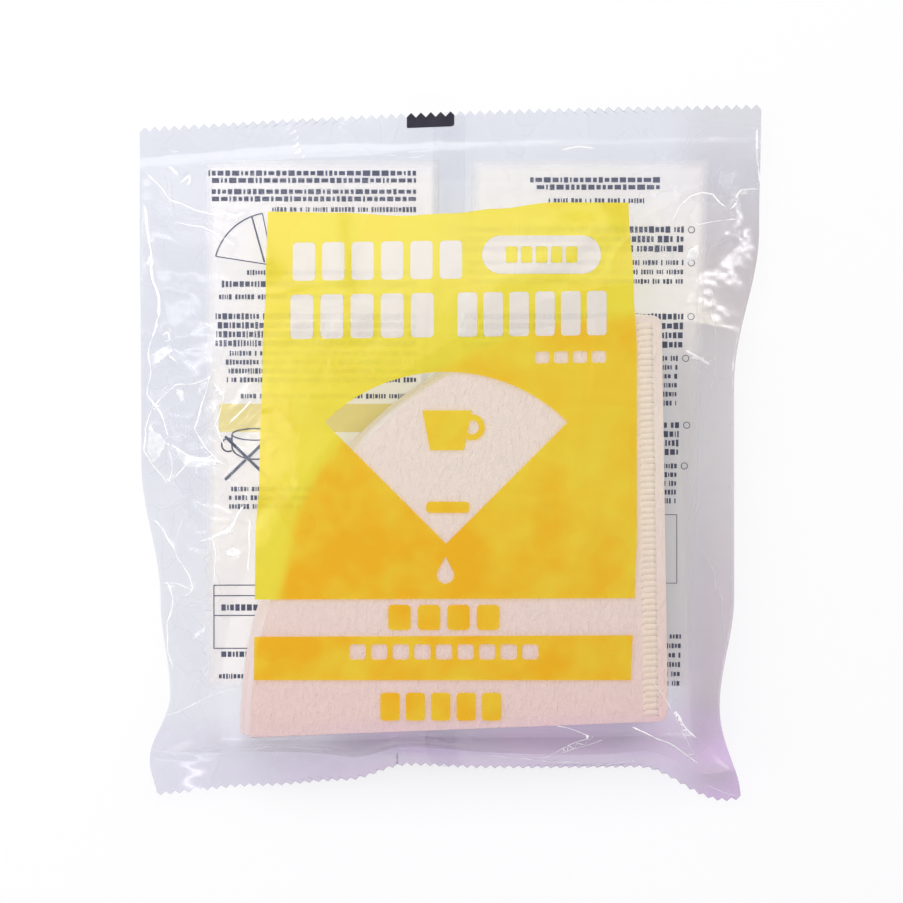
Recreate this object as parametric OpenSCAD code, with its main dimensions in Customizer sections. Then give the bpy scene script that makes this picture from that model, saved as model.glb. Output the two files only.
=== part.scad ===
// Sealed film pack of cone coffee filters, lying on its back.
// X runs across the pack, Y towards the seal with the registration mark, Z up from the table.

/* [Bag] */
// Flat width of the film tube
tube_w = 188.8; // [175:0.1:230]
// Length of the bag between its cut ends, laid flat
bag_l = 210; // [200:1:260]
// Length of the sealed band at each end
seal_l = 12; // [8:0.5:16]
// Thickness of the film wall
film_t = 0.2; // [0.1:0.05:0.4]
// Width of the fin where the tube is sealed along its back
fin_w = 10; // [6:0.5:16]
// How far the top seal lies askew, from its left corner to its right one
seal_skew = 7; // [0:0.5:15]
// Height of the folded sides above the table
side_h = 9; // [5:0.5:14]
// Height of the cut ends above the table
end_h = 3; // [1:0.5:6]
// How much the film bulges between the sides and the filters, from 0, taut, to 1, blown up
fullness = 0.6; // [0:0.05:1]
// Height of the gathers beside the top seal
gather_h = 0.9; // [0:0.1:2]
// Width of one gather
gather_w = 24; // [15:1:40]

/* [Cut ends] */
// Distance from tooth to tooth
tooth_pitch = 3; // [2:0.25:6]
// Depth of a tooth
tooth_depth = 1.6; // [0.5:0.1:3]

/* [Filters] */
// Number of filters in the pack
filter_count = 100; // [20:1:110]
// Thickness of one leaf of the filter paper
paper_t = 0.12; // [0.08:0.01:0.16]
// Slant length of the filter, from its point to its mouth
filter_r = 125; // [100:1:128]
// Angle of the filter laid flat, between its fold and its seam
filter_angle = 91.3; // [60:0.1:95]
// Lean of the seam from the long direction of the bag
seam_lean = 0.9; // [-3:0.1:3]
// Width of the crimped seam
seam_w = 5; // [3:0.5:8]
// Distance from one crimp ridge to the next
crimp_pitch = 1.9; // [1.2:0.1:4]
// Height of a crimp ridge above the paper
crimp_h = 0.15; // [0.05:0.05:0.3]
// Plain margin between the crimp ridges and the paper's edge
crimp_margin = 2; // [0.5:0.25:3]
// Corner radius at the filter's point
point_r = 3; // [1:0.5:8]
// Corner radius where the seam meets the mouth
mouth_r = 7; // [2:0.5:15]
// How far the bottom filter has slid to the left of the top one
slide = 3.2; // [0:0.2:5]
// Air gap between the two leaves of the top filter
leaf_gap = 0.1; // [0.05:0.05:0.3]
// Air gap between the top filter and the film
head_gap = 0.4; // [0.2:0.1:2]

/* [Print] */
// Thickness of the printed ink
ink_t = 0.1; // [0.05:0.05:0.2]
// Width of the yellow field on the front
field_w = 112; // [90:1:130]
// Height of the yellow field on the front
field_h = 143; // [120:1:160]
// Height of the pale band across the yellow field
band_h = 11.4; // [6:0.2:16]
// Height of the yellow strip below the pale band
strip_h = 14; // [8:0.5:20]
// Radius of the fan window
window_r = 51.5; // [30:0.5:56]
// Width of each pale panel on the back
panel_w = 71; // [50:1:78]
// Height of the pale panels on the back
panel_h = 160; // [120:1:165]
// Gap between the two panels, where the back seam runs
panel_gap = 7; // [4:0.5:16]
// Width of the registration mark
mark_w = 14.2; // [8:0.2:25]
// Length of the registration mark, from the tips of the teeth
mark_l = 4.6; // [3:0.2:8]

/* [Hidden] */

// Columns and rows of the film's surface, with the rows closer together near the bottom seal
cols = 28;
rows = 30;
row_crowding = 1.6;
// Flat lip of the side folds, and the slit where the two sheets part at it
lip_w = 0.5;
slit = 0.04;

filter_t = 2 * paper_t;
stack_base = film_t + ink_t;
stack_top = stack_base + (filter_count - 1) * filter_t;
front_top = stack_top + filter_t + leaf_gap + crimp_h;
roof_h = front_top + head_gap;
far = 2 * bag_l;
eps = 0.01;
// By how much round and flat faces cross where they would only touch
bite = 0.002;

// Place of the filters' point, from the bag's right side and bottom end, and the lines that leave it
point_in = 29;
point_up = 23.7;
point_x = tube_w / 2 - point_in;
point_y = point_up - bag_l / 2;
seam_dir = 90 + seam_lean;
fold_dir = seam_dir + filter_angle;
// Where the straight part of the seam starts and ends, and the turn from there to the mouth
point_run = point_r / tan(filter_angle / 2);
mouth_turn = asin(mouth_r / (filter_r - mouth_r));
seam_end = (filter_r - mouth_r) * cos(mouth_turn);
ridge_share = 0.6;
// Middle of the yellow field, and what it holds, measured from there
field_x = -1.3;
field_y = 1.75;
headline = [[-47.4, 5.5, 56.2, 12, 6], [-48, -2.9, 39.6, 13.6, 5], [2.5, 48.8, 39.6, 13.6, 6],
    [26, 48.4, 26.3, 3, 4]];
pill = [28.6, 57.7, 35.6, 11.6];
pill_bar = [28.6, 57.7, 21.4, 4.2];
tile_share = 0.68;
tile_round = 0.16;
window_y = -29.5;
cup_w = 15;
cup_y = 35;
window_bar = [0, 13.4, 15, 3];
drop_r = 2.6;
drop_h = 5.7;
drop_y = window_y - 9.4;
band_y = strip_h + band_h / 2 - field_h / 2;
band_tiles = [-17.5, 17.5, band_y, 0.62 * band_h, 4];
strip_bar = [0, strip_h / 2 - field_h / 2, 58, 3.6];
foot_bar = [-2, -79, 38, 5];
panel_y = 9;
fin_x = -0.3;
mark_x = -6.2;
// Sideways scatter of the filters, and the air between two of them
loose = 0.25;
air = 0.02;
// Room between the filters' mouth and seam and the bend of the film, and the same at their fold
room = 7;
fold_room = 4.3;
// How far the top end lies in from the bag's full length, and how far its middle arches out again
top_in = 3.2;
top_arch = 1.4;
// How much higher than the bottom end the top seal line and the top end lie
top_rise = 3;
top_end_rise = 2;
// How closely the side folds keep to a seal's height near it, as a power
rim_turn = 7;
// Length over which the gathers fade away from the top seal
gather_fade = 14;

// Where the sides are drawn in: share of the length from the bottom, then millimetres
left_draw = [[0, 5], [0.05, 3], [0.15, 9.3], [0.29, 6.4], [0.5, 0.6], [1, 0]];
right_draw = [[0, 6.5], [0.15, 13], [0.3, 8.6], [0.6, 8.6], [0.82, 1], [1, 0.3]];
// Where the bottom end is drawn up: share of the width from the left, then millimetres
end_draw = [[0, 0.5], [0.2, 3.4], [0.33, 5], [0.43, 9.6], [0.56, 8.8], [0.8, 9], [0.94, -1.2], [1, 0.5]];
// How much of the bottom seal's length shows from above, as it tips down in the middle
seal_show = [[0, 1], [0.2, 0.88], [0.42, 0.5], [0.72, 0.35], [0.86, 0.5], [1, 0.95]];
// Creases in the top sheet: from point, to point, half width, height
creases = [
    [[-92, 66], [-58, 58], 9, 1.6], [[-90, 2], [-62, -12], 9, 2.2], [[-90, -52], [-62, -30], 8, 2.0],
    [[66, 36], [90, 82], 9, 2.4], [[10, 46], [46, 70], 10, 1.2], [[68, -84], [84, -96], 7, 1.6],
    [[-84, -76], [-64, -84], 6, 1.2], [[76, 20], [78, 58], 7, 1.5], [[-40, 88], [-30, 40], 9, 1.4]];

function clamp(v) = min(1, max(0, v));
function mix(a, b, t) = a + (b - a) * t;
function sum(v, i = 0) = i < len(v) ? v[i] + sum(v, i + 1) : 0;
function dir(a) = [cos(a), sin(a)];
function ease(t) = (1 - cos(180 * clamp(t))) / 2;
// Smooth curve through a list of [place, value] pairs
function along(list, p, i = 0) =
    i >= len(list) - 2 || p < list[i + 1][0]
        ? mix(list[i][1], list[i + 1][1], ease((p - list[i][0]) / (list[i + 1][0] - list[i][0])))
        : along(list, p, i + 1);

function left_x(s) = along(left_draw, s) - tube_w / 2;
function right_x(s) = tube_w / 2 - along(right_draw, s);
function across(x) = clamp(x / tube_w + 0.5);

// Cut ends and seal lines, as heights on the pack seen from above
function top_end(x) =
    bag_l / 2 - top_in + seal_skew * x / tube_w + top_arch * cos(180 * x / tube_w);
function bottom_end(x) = along(end_draw, across(x)) - bag_l / 2;
function seal_run(x) = seal_l * along(seal_show, across(x));
function seal_drop(x) = sqrt(seal_l * seal_l - seal_run(x) * seal_run(x));
function bottom_seal(x) = bottom_end(x) + seal_run(x);
function top_seal(x) = top_end(x) - seal_l;

// Height of the line where the two sheets meet
function rim_z(x, s) =
    mix(mix(side_h, end_h + seal_drop(x), pow(1 - s, rim_turn)), end_h + top_rise, pow(s, rim_turn));

// Distance outside a filter, 0 on it, for a filter that reaches a little further than the top one
function off_filter(x, y, reach) =
    let (p = [x - point_x, y - point_y],
         a = p[0] * cos(fold_dir) + p[1] * sin(fold_dir),
         b = p[0] * cos(seam_dir) + p[1] * sin(seam_dir))
    norm([max(0, -a - room), max(0, -b - fold_room), max(0, norm(p) - filter_r - reach - room)]);

// Share of the way from the rim, 0, to the filters, 1
function way_in(x, y, s, reach) =
    let (near = [x - left_x(s) - lip_w, right_x(s) - lip_w - x, y - bottom_seal(x), top_seal(x) - y])
    min(near) < eps ? 0
        : let (rim = pow(sum([for (n = near) pow(n, -3)]), -1 / 3))
          rim / (rim + off_filter(x, y, reach));
function bulge(t) = mix(t, sin(90 * t), fullness);

function crease_rise(c, x, y) =
    let (run = c[1] - c[0], l = norm(run), d = run / l, p = [x, y] - c[0],
         t = clamp((p * d) / l), off = norm(p - run * t))
    c[3] * ease(1 - off / c[2]);
function gathers(x, y) =
    gather_h * (1 + cos(360 * x / gather_w)) / 2 * exp((y - top_seal(x)) / gather_fade);

// Inside heights of the top and bottom sheets
function top_z(x, y, s) =
    let (t = way_in(x, y, s, 0), rim = rim_z(x, s))
    rim + slit / 2 + (roof_h - rim) * bulge(t)
        + clamp(8 * t) * (1 - 0.75 * t) * (gathers(x, y) + sum([for (c = creases) crease_rise(c, x, y)]));
function bottom_z(x, y, s) =
    film_t + (rim_z(x, s) - slit / 2 - film_t) * (1 - bulge(way_in(x, y, s, slide)));

// Share of the length at a row: the cut ends, then the rows between the seal lines
function row_run(r) = pow((r - 1) / (rows - 2), row_crowding);
function row_share(r) =
    r == 0 ? 0 : r == rows ? 1 : mix(seal_l / bag_l, 1 - seal_l / bag_l, row_run(r));
function col_x(c, s) =
    c == 0 ? left_x(s) : c == cols ? right_x(s)
        : mix(left_x(s) + lip_w, right_x(s) - lip_w, (c - 1) / (cols - 2));
function row_y(x, r) =
    r == 0 ? bottom_end(x) : r == rows ? top_end(x) : mix(bottom_seal(x), top_seal(x), row_run(r));

// One point of a sheet, lifted by a given height: the end rows hold the flat seals
function sheet_point(c, r, over, lift) =
    let (s = row_share(r), x = col_x(c, s), y = row_y(x, r))
    [x, y, lift + (r == 0 ? end_h : r == rows ? end_h + top_end_rise
        : over ? top_z(x, y, s) : bottom_z(x, y, s))];

function sheet(c0, c1, r0, r1, over, lift) =
    [for (r = [r0:r1]) for (c = [c0:c1]) sheet_point(c, r, over, lift)];

// Closed solid between two sheets with the same columns and rows
module between(above, below, n, m) {
    w = n + 1;
    k = w * (m + 1);
    top_faces = [for (r = [0:m - 1]) for (c = [0:n - 1]) let (a = r * w + c)
        each [[a, a + w, a + w + 1], [a, a + w + 1, a + 1]]];
    rim = concat([for (c = [0:n - 1]) c], [for (r = [0:m - 1]) r * w + n],
        [for (c = [n:-1:1]) m * w + c], [for (r = [m:-1:1]) r * w]);
    side_faces = [for (i = [0:len(rim) - 1]) let (a = rim[i], b = rim[(i + 1) % len(rim)])
        each [[a, b, b + k], [a, b + k, a + k]]];
    bottom_faces = [for (f = top_faces) [f[2] + k, f[1] + k, f[0] + k]];
    polyhedron(points = concat(above, below), faces = concat(top_faces, side_faces, bottom_faces));
}

// Columns and rows of the film that cover a rectangle, with a little to spare
function col_near(x, spare) =
    let (c = 1 + (cols - 2) * across(x)) min(cols - 1, max(1, spare < 0 ? floor(c) - 2 : ceil(c) + 2));
function row_near(y, spare) =
    let (share = clamp((y + bag_l / 2 - seal_l) / (bag_l - 2 * seal_l)),
         r = 1 + (rows - 2) * pow(share, 1 / row_crowding))
    min(rows - 1, max(1, spare < 0 ? floor(r) - 1 : ceil(r) + 2));

// Toothed line along a cut end, closed off to the far side of it
module beyond_teeth(top) {
    way = top ? 1 : -1;
    count = ceil(tube_w / tooth_pitch) + 2;
    teeth = [for (i = [0:2 * count]) let (x = (i / 2 - count / 2) * tooth_pitch)
        [x, (top ? top_end(x) : bottom_end(x)) - way * (i % 2 == 0 ? tooth_depth : 0)]];
    polygon(concat(teeth, [[far, way * far], [-far, way * far]]));
}

// Two layers of film, folded flat against the back, and pressed flush where the pack rests
module back_fin() {
    c0 = floor(cols / 2) - 1;
    c1 = c0 + 3;
    intersection() {
        between(sheet(c0, c1, 0, rows, false, -film_t / 2), sheet(c0, c1, 0, rows, false, -3 * film_t),
            c1 - c0, rows);
        linear_extrude(roof_h) translate([fin_x, 0]) square([fin_w, far], center = true);
    }
}

module film_bag() {
    color([0.86, 0.87, 0.95, 0.35]) difference() {
        union() {
            between(sheet(0, cols, 0, rows, true, film_t), sheet(0, cols, 0, rows, false, -film_t),
                cols, rows);
            back_fin();
        }
        between(sheet(1, cols - 1, 1, rows - 1, true, 0), sheet(1, cols - 1, 1, rows - 1, false, 0),
            cols - 2, rows - 2);
        for (top = [true, false])
            translate([0, 0, -1]) linear_extrude(roof_h) beyond_teeth(top);
    }
}

// Skin of ink that follows one sheet over a rectangle given by two corners
module ink_skin(low, high, over) {
    c0 = col_near(low[0], -1);
    c1 = col_near(high[0], 1);
    r0 = row_near(low[1], -1);
    r1 = row_near(high[1], 1);
    base = over ? film_t : 0;
    intersection() {
        between(sheet(c0, c1, r0, r1, over, base + ink_t), sheet(c0, c1, r0, r1, over, base),
            c1 - c0, r1 - r0);
        translate([0, 0, -1]) linear_extrude(2 * roof_h) children();
    }
}

// Rectangle with round corners, from its centre
module tile(w, h, r) {
    square([w - 2 * r, h], center = true);
    square([w, h - 2 * r], center = true);
    for (x = [-1, 1], y = [-1, 1])
        translate([x * (w / 2 - r), y * (h / 2 - r)]) circle(r, $fn = 32);
}

// Tile at a place given as x, y, width and height
module bar(b, r) {
    translate([b[0], b[1]]) tile(b[2], b[3], r);
}

// Row of tiles in the place of a word, given as left, right, y, height and count
module tile_row(row) {
    pitch = (row[1] - row[0]) / row[4];
    for (i = [0:row[4] - 1])
        bar([row[0] + (i + 0.5) * pitch, row[2], pitch * tile_share, row[3]], pitch * tile_round);
}

module fan(r) {
    intersection() {
        circle(r, $fn = 120);
        polygon([[0, 0], [r, r], [0, 2 * r], [-r, r]]);
    }
}

// A drop: a circle and the tip between the two lines that touch it
module drop() {
    lean = asin(drop_r / drop_h);
    circle(drop_r + bite, $fn = 32);
    polygon([drop_r * dir(lean), [0, drop_h], drop_r * dir(180 - lean)]);
}

// A plain cup with a handle
module cup() {
    polygon([[-0.5, 0.4] * cup_w, [0.5, 0.4] * cup_w, [0.34, -0.4] * cup_w, [-0.34, -0.4] * cup_w]);
    difference() {
        translate([0.5 * cup_w, 0.06 * cup_w]) circle(0.26 * cup_w, $fn = 32);
        translate([0.5 * cup_w, 0.06 * cup_w]) circle(0.14 * cup_w, $fn = 32);
    }
}

module front_art() {
    translate([field_x, field_y]) {
        difference() {
            square([field_w, field_h], center = true);
            for (row = headline) tile_row(row);
            difference() {
                bar(pill, pill[3] / 2 - eps);
                bar(pill_bar, 1);
            }
            translate([0, window_y]) difference() {
                fan(window_r);
                translate([0, cup_y]) cup();
                bar(window_bar, 1);
            }
            translate([0, drop_y]) drop();
            difference() {
                translate([0, band_y]) square([field_w + 2, band_h], center = true);
                tile_row(band_tiles);
            }
            bar(strip_bar, 1.4);
        }
        bar(foot_bar, 2);
    }
}

module front_print() {
    color([0.93, 0.78, 0.2])
        ink_skin([field_x - field_w / 2, field_y + foot_bar[1] - foot_bar[3]],
            [field_x + field_w / 2, field_y + field_h / 2], true)
            front_art();
}

module back_print() {
    color([0.9, 0.9, 0.9])
        ink_skin([-panel_w - panel_gap / 2, panel_y - panel_h / 2],
            [panel_w + panel_gap / 2, panel_y + panel_h / 2], false)
            for (way = [-1, 1]) translate([way * (panel_w + panel_gap) / 2, panel_y])
                square([panel_w, panel_h], center = true);
}

module registration_mark() {
    color([0.14, 0.13, 0.2]) intersection() {
        between(sheet(0, cols, rows - 1, rows, true, film_t + ink_t),
            sheet(0, cols, rows - 1, rows, true, film_t), cols, 1);
        translate([0, 0, -1]) linear_extrude(roof_h) difference() {
            translate([mark_x, top_end(mark_x) - mark_l / 2]) square([mark_w, mark_l], center = true);
            beyond_teeth(true);
        }
    }
}

// Outline of a filter laid flat, from its point: a sector with a round point and a round seam corner
module filter_outline() {
    middle_dir = seam_dir + filter_angle / 2;
    mouth_dir = seam_dir + mouth_turn;
    difference() {
        intersection() {
            circle(filter_r, $fn = 180);
            polygon([[0, 0], far * dir(seam_dir), far * dir(middle_dir), far * dir(fold_dir)]);
        }
        difference() {
            polygon([-point_r * dir(middle_dir), point_run * dir(seam_dir), point_run * dir(fold_dir)]);
            translate(point_r / sin(filter_angle / 2) * dir(middle_dir)) circle(point_r + bite, $fn = 48);
        }
        difference() {
            polygon([seam_end * dir(seam_dir), far * dir(seam_dir), far * dir(mouth_dir),
                filter_r * dir(mouth_dir)]);
            translate((filter_r - mouth_r) * dir(mouth_dir)) circle(mouth_r + bite, $fn = 48);
        }
    }
}

// Ridges pressed across the seam, each a low arch drawn from the side
module crimp_profile() {
    count = floor((seam_end - point_run) / crimp_pitch) - 2;
    half = crimp_pitch * ridge_share / 2;
    r = (half * half + crimp_h * crimp_h) / (2 * crimp_h);
    for (i = [1:count]) translate([point_run + i * crimp_pitch, 0]) intersection() {
        translate([0, crimp_h - r]) circle(r, $fn = 48);
        translate([-half - eps, -eps]) square([2 * half + 2 * eps, crimp_h + 2 * eps]);
    }
}

// Half a tube of paper, drawn along its axis, that joins the edges of the two leaves
module fold_profile() {
    bend_r = paper_t + leaf_gap / 2;
    difference() {
        circle(bend_r - bite, $fn = 24);
        circle(leaf_gap / 2 + bite, $fn = 24);
        translate([-2 * bend_r - eps, -bend_r]) square(2 * bend_r);
    }
}

module front_filter() {
    upper_z = paper_t + leaf_gap;
    color([0.91, 0.82, 0.78]) translate([point_x, point_y, stack_top]) {
        for (z = [0, upper_z]) translate([0, 0, z]) linear_extrude(paper_t) filter_outline();
        // The two leaves pressed together along the seam
        translate([0, 0, paper_t - eps]) linear_extrude(leaf_gap + 2 * eps) intersection() {
            filter_outline();
            rotate(seam_dir) translate([0, -1]) square([filter_r, crimp_margin + seam_w + 1]);
        }
        rotate([0, 0, seam_dir]) translate([0, crimp_margin + seam_w, upper_z + paper_t])
            rotate([90, 0, 0]) linear_extrude(seam_w) crimp_profile();
        rotate([0, 0, fold_dir]) translate([2 * point_run, 0, upper_z / 2 + paper_t / 2])
            rotate([90, 0, 90]) linear_extrude(filter_r - 2 * point_run - eps) fold_profile();
    }
}

module filter_stack() {
    count = filter_count - 1;
    wander = rands(-loose, loose, 2 * count, 7);
    color([0.93, 0.86, 0.82]) for (i = [0:count - 1])
        translate([point_x, point_y, stack_base + i * filter_t]
            + concat(slide * (1 - i / count) * dir(fold_dir), 0)
            + [wander[2 * i], wander[2 * i + 1], 0])
            linear_extrude(filter_t - air) filter_outline();
}

film_bag();
front_print();
back_print();
registration_mark();
front_filter();
filter_stack();
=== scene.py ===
# %% [markdown]
# # A sealed pack of cone coffee filters
#
# The object is a clear film bag, printed in yellow on its front and in pale grey on its back, with a stack
# of flat-folded paper filters in it. It lies on a table and is seen from straight above. The CAD frame
# gives every piece its place and size. This script puts the looks on it: thin film that can be seen
# through, creases that catch the light, translucent ink, and creped paper.
#
# Lengths are in millimetres while a shape is worked out and in metres once it is a mesh, because the frame
# is.

import math

import bpy
import numpy as np
from mathutils import Matrix, Vector


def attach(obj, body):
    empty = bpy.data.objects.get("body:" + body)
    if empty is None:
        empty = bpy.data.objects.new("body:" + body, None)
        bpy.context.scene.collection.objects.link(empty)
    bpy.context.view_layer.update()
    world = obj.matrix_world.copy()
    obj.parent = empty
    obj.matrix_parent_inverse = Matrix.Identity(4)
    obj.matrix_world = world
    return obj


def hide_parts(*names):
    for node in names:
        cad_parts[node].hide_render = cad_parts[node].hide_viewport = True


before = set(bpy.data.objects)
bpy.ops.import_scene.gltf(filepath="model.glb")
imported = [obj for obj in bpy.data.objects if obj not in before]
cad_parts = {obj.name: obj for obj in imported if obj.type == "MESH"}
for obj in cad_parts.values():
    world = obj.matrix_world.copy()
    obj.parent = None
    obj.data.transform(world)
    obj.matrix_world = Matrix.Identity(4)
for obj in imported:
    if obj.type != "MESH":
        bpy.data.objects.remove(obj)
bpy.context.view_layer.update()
MM = 0.001
# Faces that meet at more than this angle keep a sharp edge between them
SHARP_ANGLE = math.radians(55)
print("frame nodes:", sorted(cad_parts))


# %% [markdown]
# ## Small helpers
#
# Every piece ends as a plain mesh at the origin, with its place in its vertices, that rides on the one body
# of this part. One helper does that for all pieces, so that no step can be forgotten. Points come in as
# arrays, because a film surface has tens of thousands of them and numpy handles them at once.

# %% Make a piece from points and faces
def make_piece(name, points_mm, faces, material, smooth=True):
    mesh = bpy.data.meshes.new(name)
    mesh.from_pydata((np.asarray(points_mm, float) * MM).tolist(), [], [list(f) for f in faces])
    mesh.materials.append(material)
    mesh.polygons.foreach_set("use_smooth", [smooth] * len(mesh.polygons))
    mesh.update()
    mesh.set_sharp_from_angle(angle=SHARP_ANGLE)
    piece = bpy.data.objects.new(name, mesh)
    bpy.context.scene.collection.objects.link(piece)
    return piece


def finish_piece(piece, slot_name, *nodes):
    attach(piece, "root")
    if nodes:
        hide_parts(*nodes)
    triangles = sum(len(p.vertices) - 2 for p in piece.data.polygons)
    print(f"{piece.name}: {len(piece.data.vertices)} points, {triangles} triangles")


def set_values(piece, name, values):
    """Stores one number on each point, for the material to read."""
    layer = piece.data.attributes.new(name, "FLOAT", "POINT")
    layer.data.foreach_set("value", np.asarray(values, np.float32))


# %% [markdown]
# Edges and drawn-in sides are curves that were measured at a few places. A half cosine between two places
# gives a smooth curve that passes through each of them, and never overshoots.

# %% Curves through a few measured places
def clamp(v, low=0.0, high=1.0):
    return np.minimum(high, np.maximum(low, v))


def mix(a, b, t):
    return a + (b - a) * t


def ease(t):
    return (1 - np.cos(math.pi * clamp(t))) / 2


def along(places, p):
    """Smooth curve through [place, value] pairs, level at each of them."""
    p = np.asarray(p, float)
    at = np.array([q[0] for q in places], float)
    value = np.array([q[1] for q in places], float)
    i = np.clip(np.searchsorted(at, p, side="right") - 1, 0, len(at) - 2)
    return mix(value[i], value[i + 1], ease((p - at[i]) / (at[i + 1] - at[i])))


# %% [markdown]
# ## The studio
#
# A pale floor, a large soft lamp above the far end, and narrow strip lamps low at the sides. The large lamp
# gives the plain, even light. The strips are what the film's creases mirror: without something small and
# bright to reflect, thin film looks like fog. The floor stays white for the camera because its own glow is
# added for camera rays alone, and it still takes the pack's shadow.

# %% Floor and world
def new_material(name):
    material = bpy.data.materials.new(name)
    material.use_nodes = True
    material.node_tree.nodes.clear()
    return material, material.node_tree.nodes, material.node_tree.links


# Share of the floor's own glow in what the camera and the film's mirrors see of it
FLOOR_GLOW = 0.72


def floor_material():
    material, nodes, links = new_material("pale_floor")
    out = nodes.new("ShaderNodeOutputMaterial")
    paint = nodes.new("ShaderNodeBsdfDiffuse")
    paint.inputs["Color"].default_value = (0.86, 0.86, 0.87, 1)
    glow = nodes.new("ShaderNodeEmission")
    glow.inputs["Strength"].default_value = 1.0
    light_path = nodes.new("ShaderNodeLightPath")
    seen = nodes.new("ShaderNodeMath")
    seen.operation = "MAXIMUM"
    links.new(light_path.outputs["Is Camera Ray"], seen.inputs[0])
    links.new(light_path.outputs["Is Glossy Ray"], seen.inputs[1])
    share = nodes.new("ShaderNodeMath")
    share.operation = "MULTIPLY"
    share.inputs[1].default_value = FLOOR_GLOW
    links.new(seen.outputs[0], share.inputs[0])
    mixed = nodes.new("ShaderNodeMixShader")
    links.new(share.outputs[0], mixed.inputs[0])
    links.new(paint.outputs[0], mixed.inputs[1])
    links.new(glow.outputs[0], mixed.inputs[2])
    links.new(mixed.outputs[0], out.inputs["Surface"])
    return material


FLOOR_HALF, FLOOR_Z = 4000, -0.3
corners = [[FLOOR_HALF * x, FLOOR_HALF * y, FLOOR_Z] for x, y in ((-1, -1), (1, -1), (1, 1), (-1, 1))]
floor = make_piece("floor", corners, [[0, 1, 2, 3]], floor_material())

world = bpy.data.worlds.new("studio")
bpy.context.scene.world = world
world.use_nodes = True
world.node_tree.nodes["Background"].inputs["Color"].default_value = (0.93, 0.95, 1.0, 1)
world.node_tree.nodes["Background"].inputs["Strength"].default_value = 0.5
bpy.context.scene.view_settings.view_transform = "Standard"


# %% [markdown]
# Area lamps are soft, and their size sets how soft. Each strip lamp is long and narrow, so it shows as a
# fine bright line on a crease, as a window's edge does on real film.

# %% Lamps
def lamp(name, place, aim, width, height, watts, tint=(1, 1, 1)):
    light = bpy.data.lights.new(name, "AREA")
    light.shape, light.size, light.size_y = "RECTANGLE", width, height
    light.energy, light.color = watts, tint
    holder = bpy.data.objects.new(name, light)
    bpy.context.scene.collection.objects.link(holder)
    holder.location = place
    holder.rotation_euler = (Vector(aim) - Vector(place)).to_track_quat("-Z", "Y").to_euler()


lamp("big_softbox", (-0.3, 0.7, 1.0), (0, 0, 0), 1.0, 0.6, 7.8, (1, 0.985, 0.96))
lamp("left_strip", (-0.5, 0.12, 0.5), (-0.05, 0, 0), 0.02, 0.5, 1.3)
lamp("right_strip", (0.55, 0.3, 0.55), (0.05, 0, 0), 0.02, 0.5, 0.9)
lamp("near_strip", (-0.1, -0.5, 0.5), (0, 0, 0), 0.5, 0.02, 0.7, (0.93, 0.86, 1))


# %% [markdown]
# ## The camera
#
# The photograph was taken from straight above. Its scale was found from the filters' slant length, 125 mm
# over 413 pixels. A long lens far away keeps the top of the pack at the same scale as its edges.

# %% Camera straight above
# A pixel of the photograph in millimetres, the picture's width, and the pixel column over the frame's middle
PIXEL, PICTURE, MIDDLE_COLUMN = 0.3027, 903, 451
# Height at which the scale holds, and the camera's distance above it, in metres
SCALE_HEIGHT, DISTANCE = 0.012, 3.0
SENSOR = 36
camera_data = bpy.data.cameras.new("camera")
camera_data.sensor_width = SENSOR
camera_data.lens = SENSOR * DISTANCE / (PICTURE * PIXEL * MM)
camera_data.clip_end = 20
camera = bpy.data.objects.new("camera", camera_data)
bpy.context.scene.collection.objects.link(camera)
camera.location = ((PICTURE / 2 - MIDDLE_COLUMN) * PIXEL * MM, 0, SCALE_HEIGHT + DISTANCE)
bpy.context.scene.camera = camera
print(f"lens {camera_data.lens:.0f} mm at {DISTANCE} m")


# %% [markdown]
# ## Where the bag's edges and seals run
#
# These are the same measured curves as in the CAD source: how far the sides and the bottom end are drawn
# in, and how the seals lie. The sides' curves go by a share of the length, from 0 at the bottom cut end to
# 1 at the top one, and the ends' curves go by a share of the width.

# %% Measured outline of the bag
TUBE_W, BAG_L, SEAL_L, FILM_T = 188.8, 210.0, 12.0, 0.2
SIDE_H, END_H, SEAL_SKEW = 9.0, 3.0, 7.0
LEFT_DRAW = [(0, 5), (0.05, 3), (0.15, 9.3), (0.29, 6.4), (0.5, 0.6), (1, 0)]
RIGHT_DRAW = [(0, 6.5), (0.15, 13), (0.3, 8.6), (0.6, 8.6), (0.82, 1), (1, 0.3)]
END_DRAW = [(0, 0.5), (0.2, 3.4), (0.33, 5), (0.43, 9.6), (0.56, 8.8), (0.8, 9), (0.94, -1.2), (1, 0.5)]
SEAL_SHOW = [(0, 1), (0.2, 0.88), (0.42, 0.5), (0.72, 0.35), (0.86, 0.5), (1, 0.95)]
SEAL_SHARE = SEAL_L / BAG_L
# How far the top end is drawn down, and its middle bowed up again
TOP_DRAW, TOP_BOW = 3.2, 1.4


def left_x(s):
    return along(LEFT_DRAW, s) - TUBE_W / 2


def right_x(s):
    return TUBE_W / 2 - along(RIGHT_DRAW, s)


def top_end(x):
    return BAG_L / 2 - TOP_DRAW + SEAL_SKEW * x / TUBE_W + TOP_BOW * np.cos(math.pi * x / TUBE_W)


def bottom_end(x):
    return along(END_DRAW, clamp(x / TUBE_W + 0.5)) - BAG_L / 2


def seal_run(x):
    return SEAL_L * along(SEAL_SHOW, clamp(x / TUBE_W + 0.5))


def bottom_seal(x):
    return bottom_end(x) + seal_run(x)


def top_seal(x):
    return top_end(x) - SEAL_L


def share_at(x, y):
    inner = (y - bottom_seal(x)) / (top_seal(x) - bottom_seal(x))
    return mix(SEAL_SHARE, 1 - SEAL_SHARE, clamp(inner))


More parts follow.
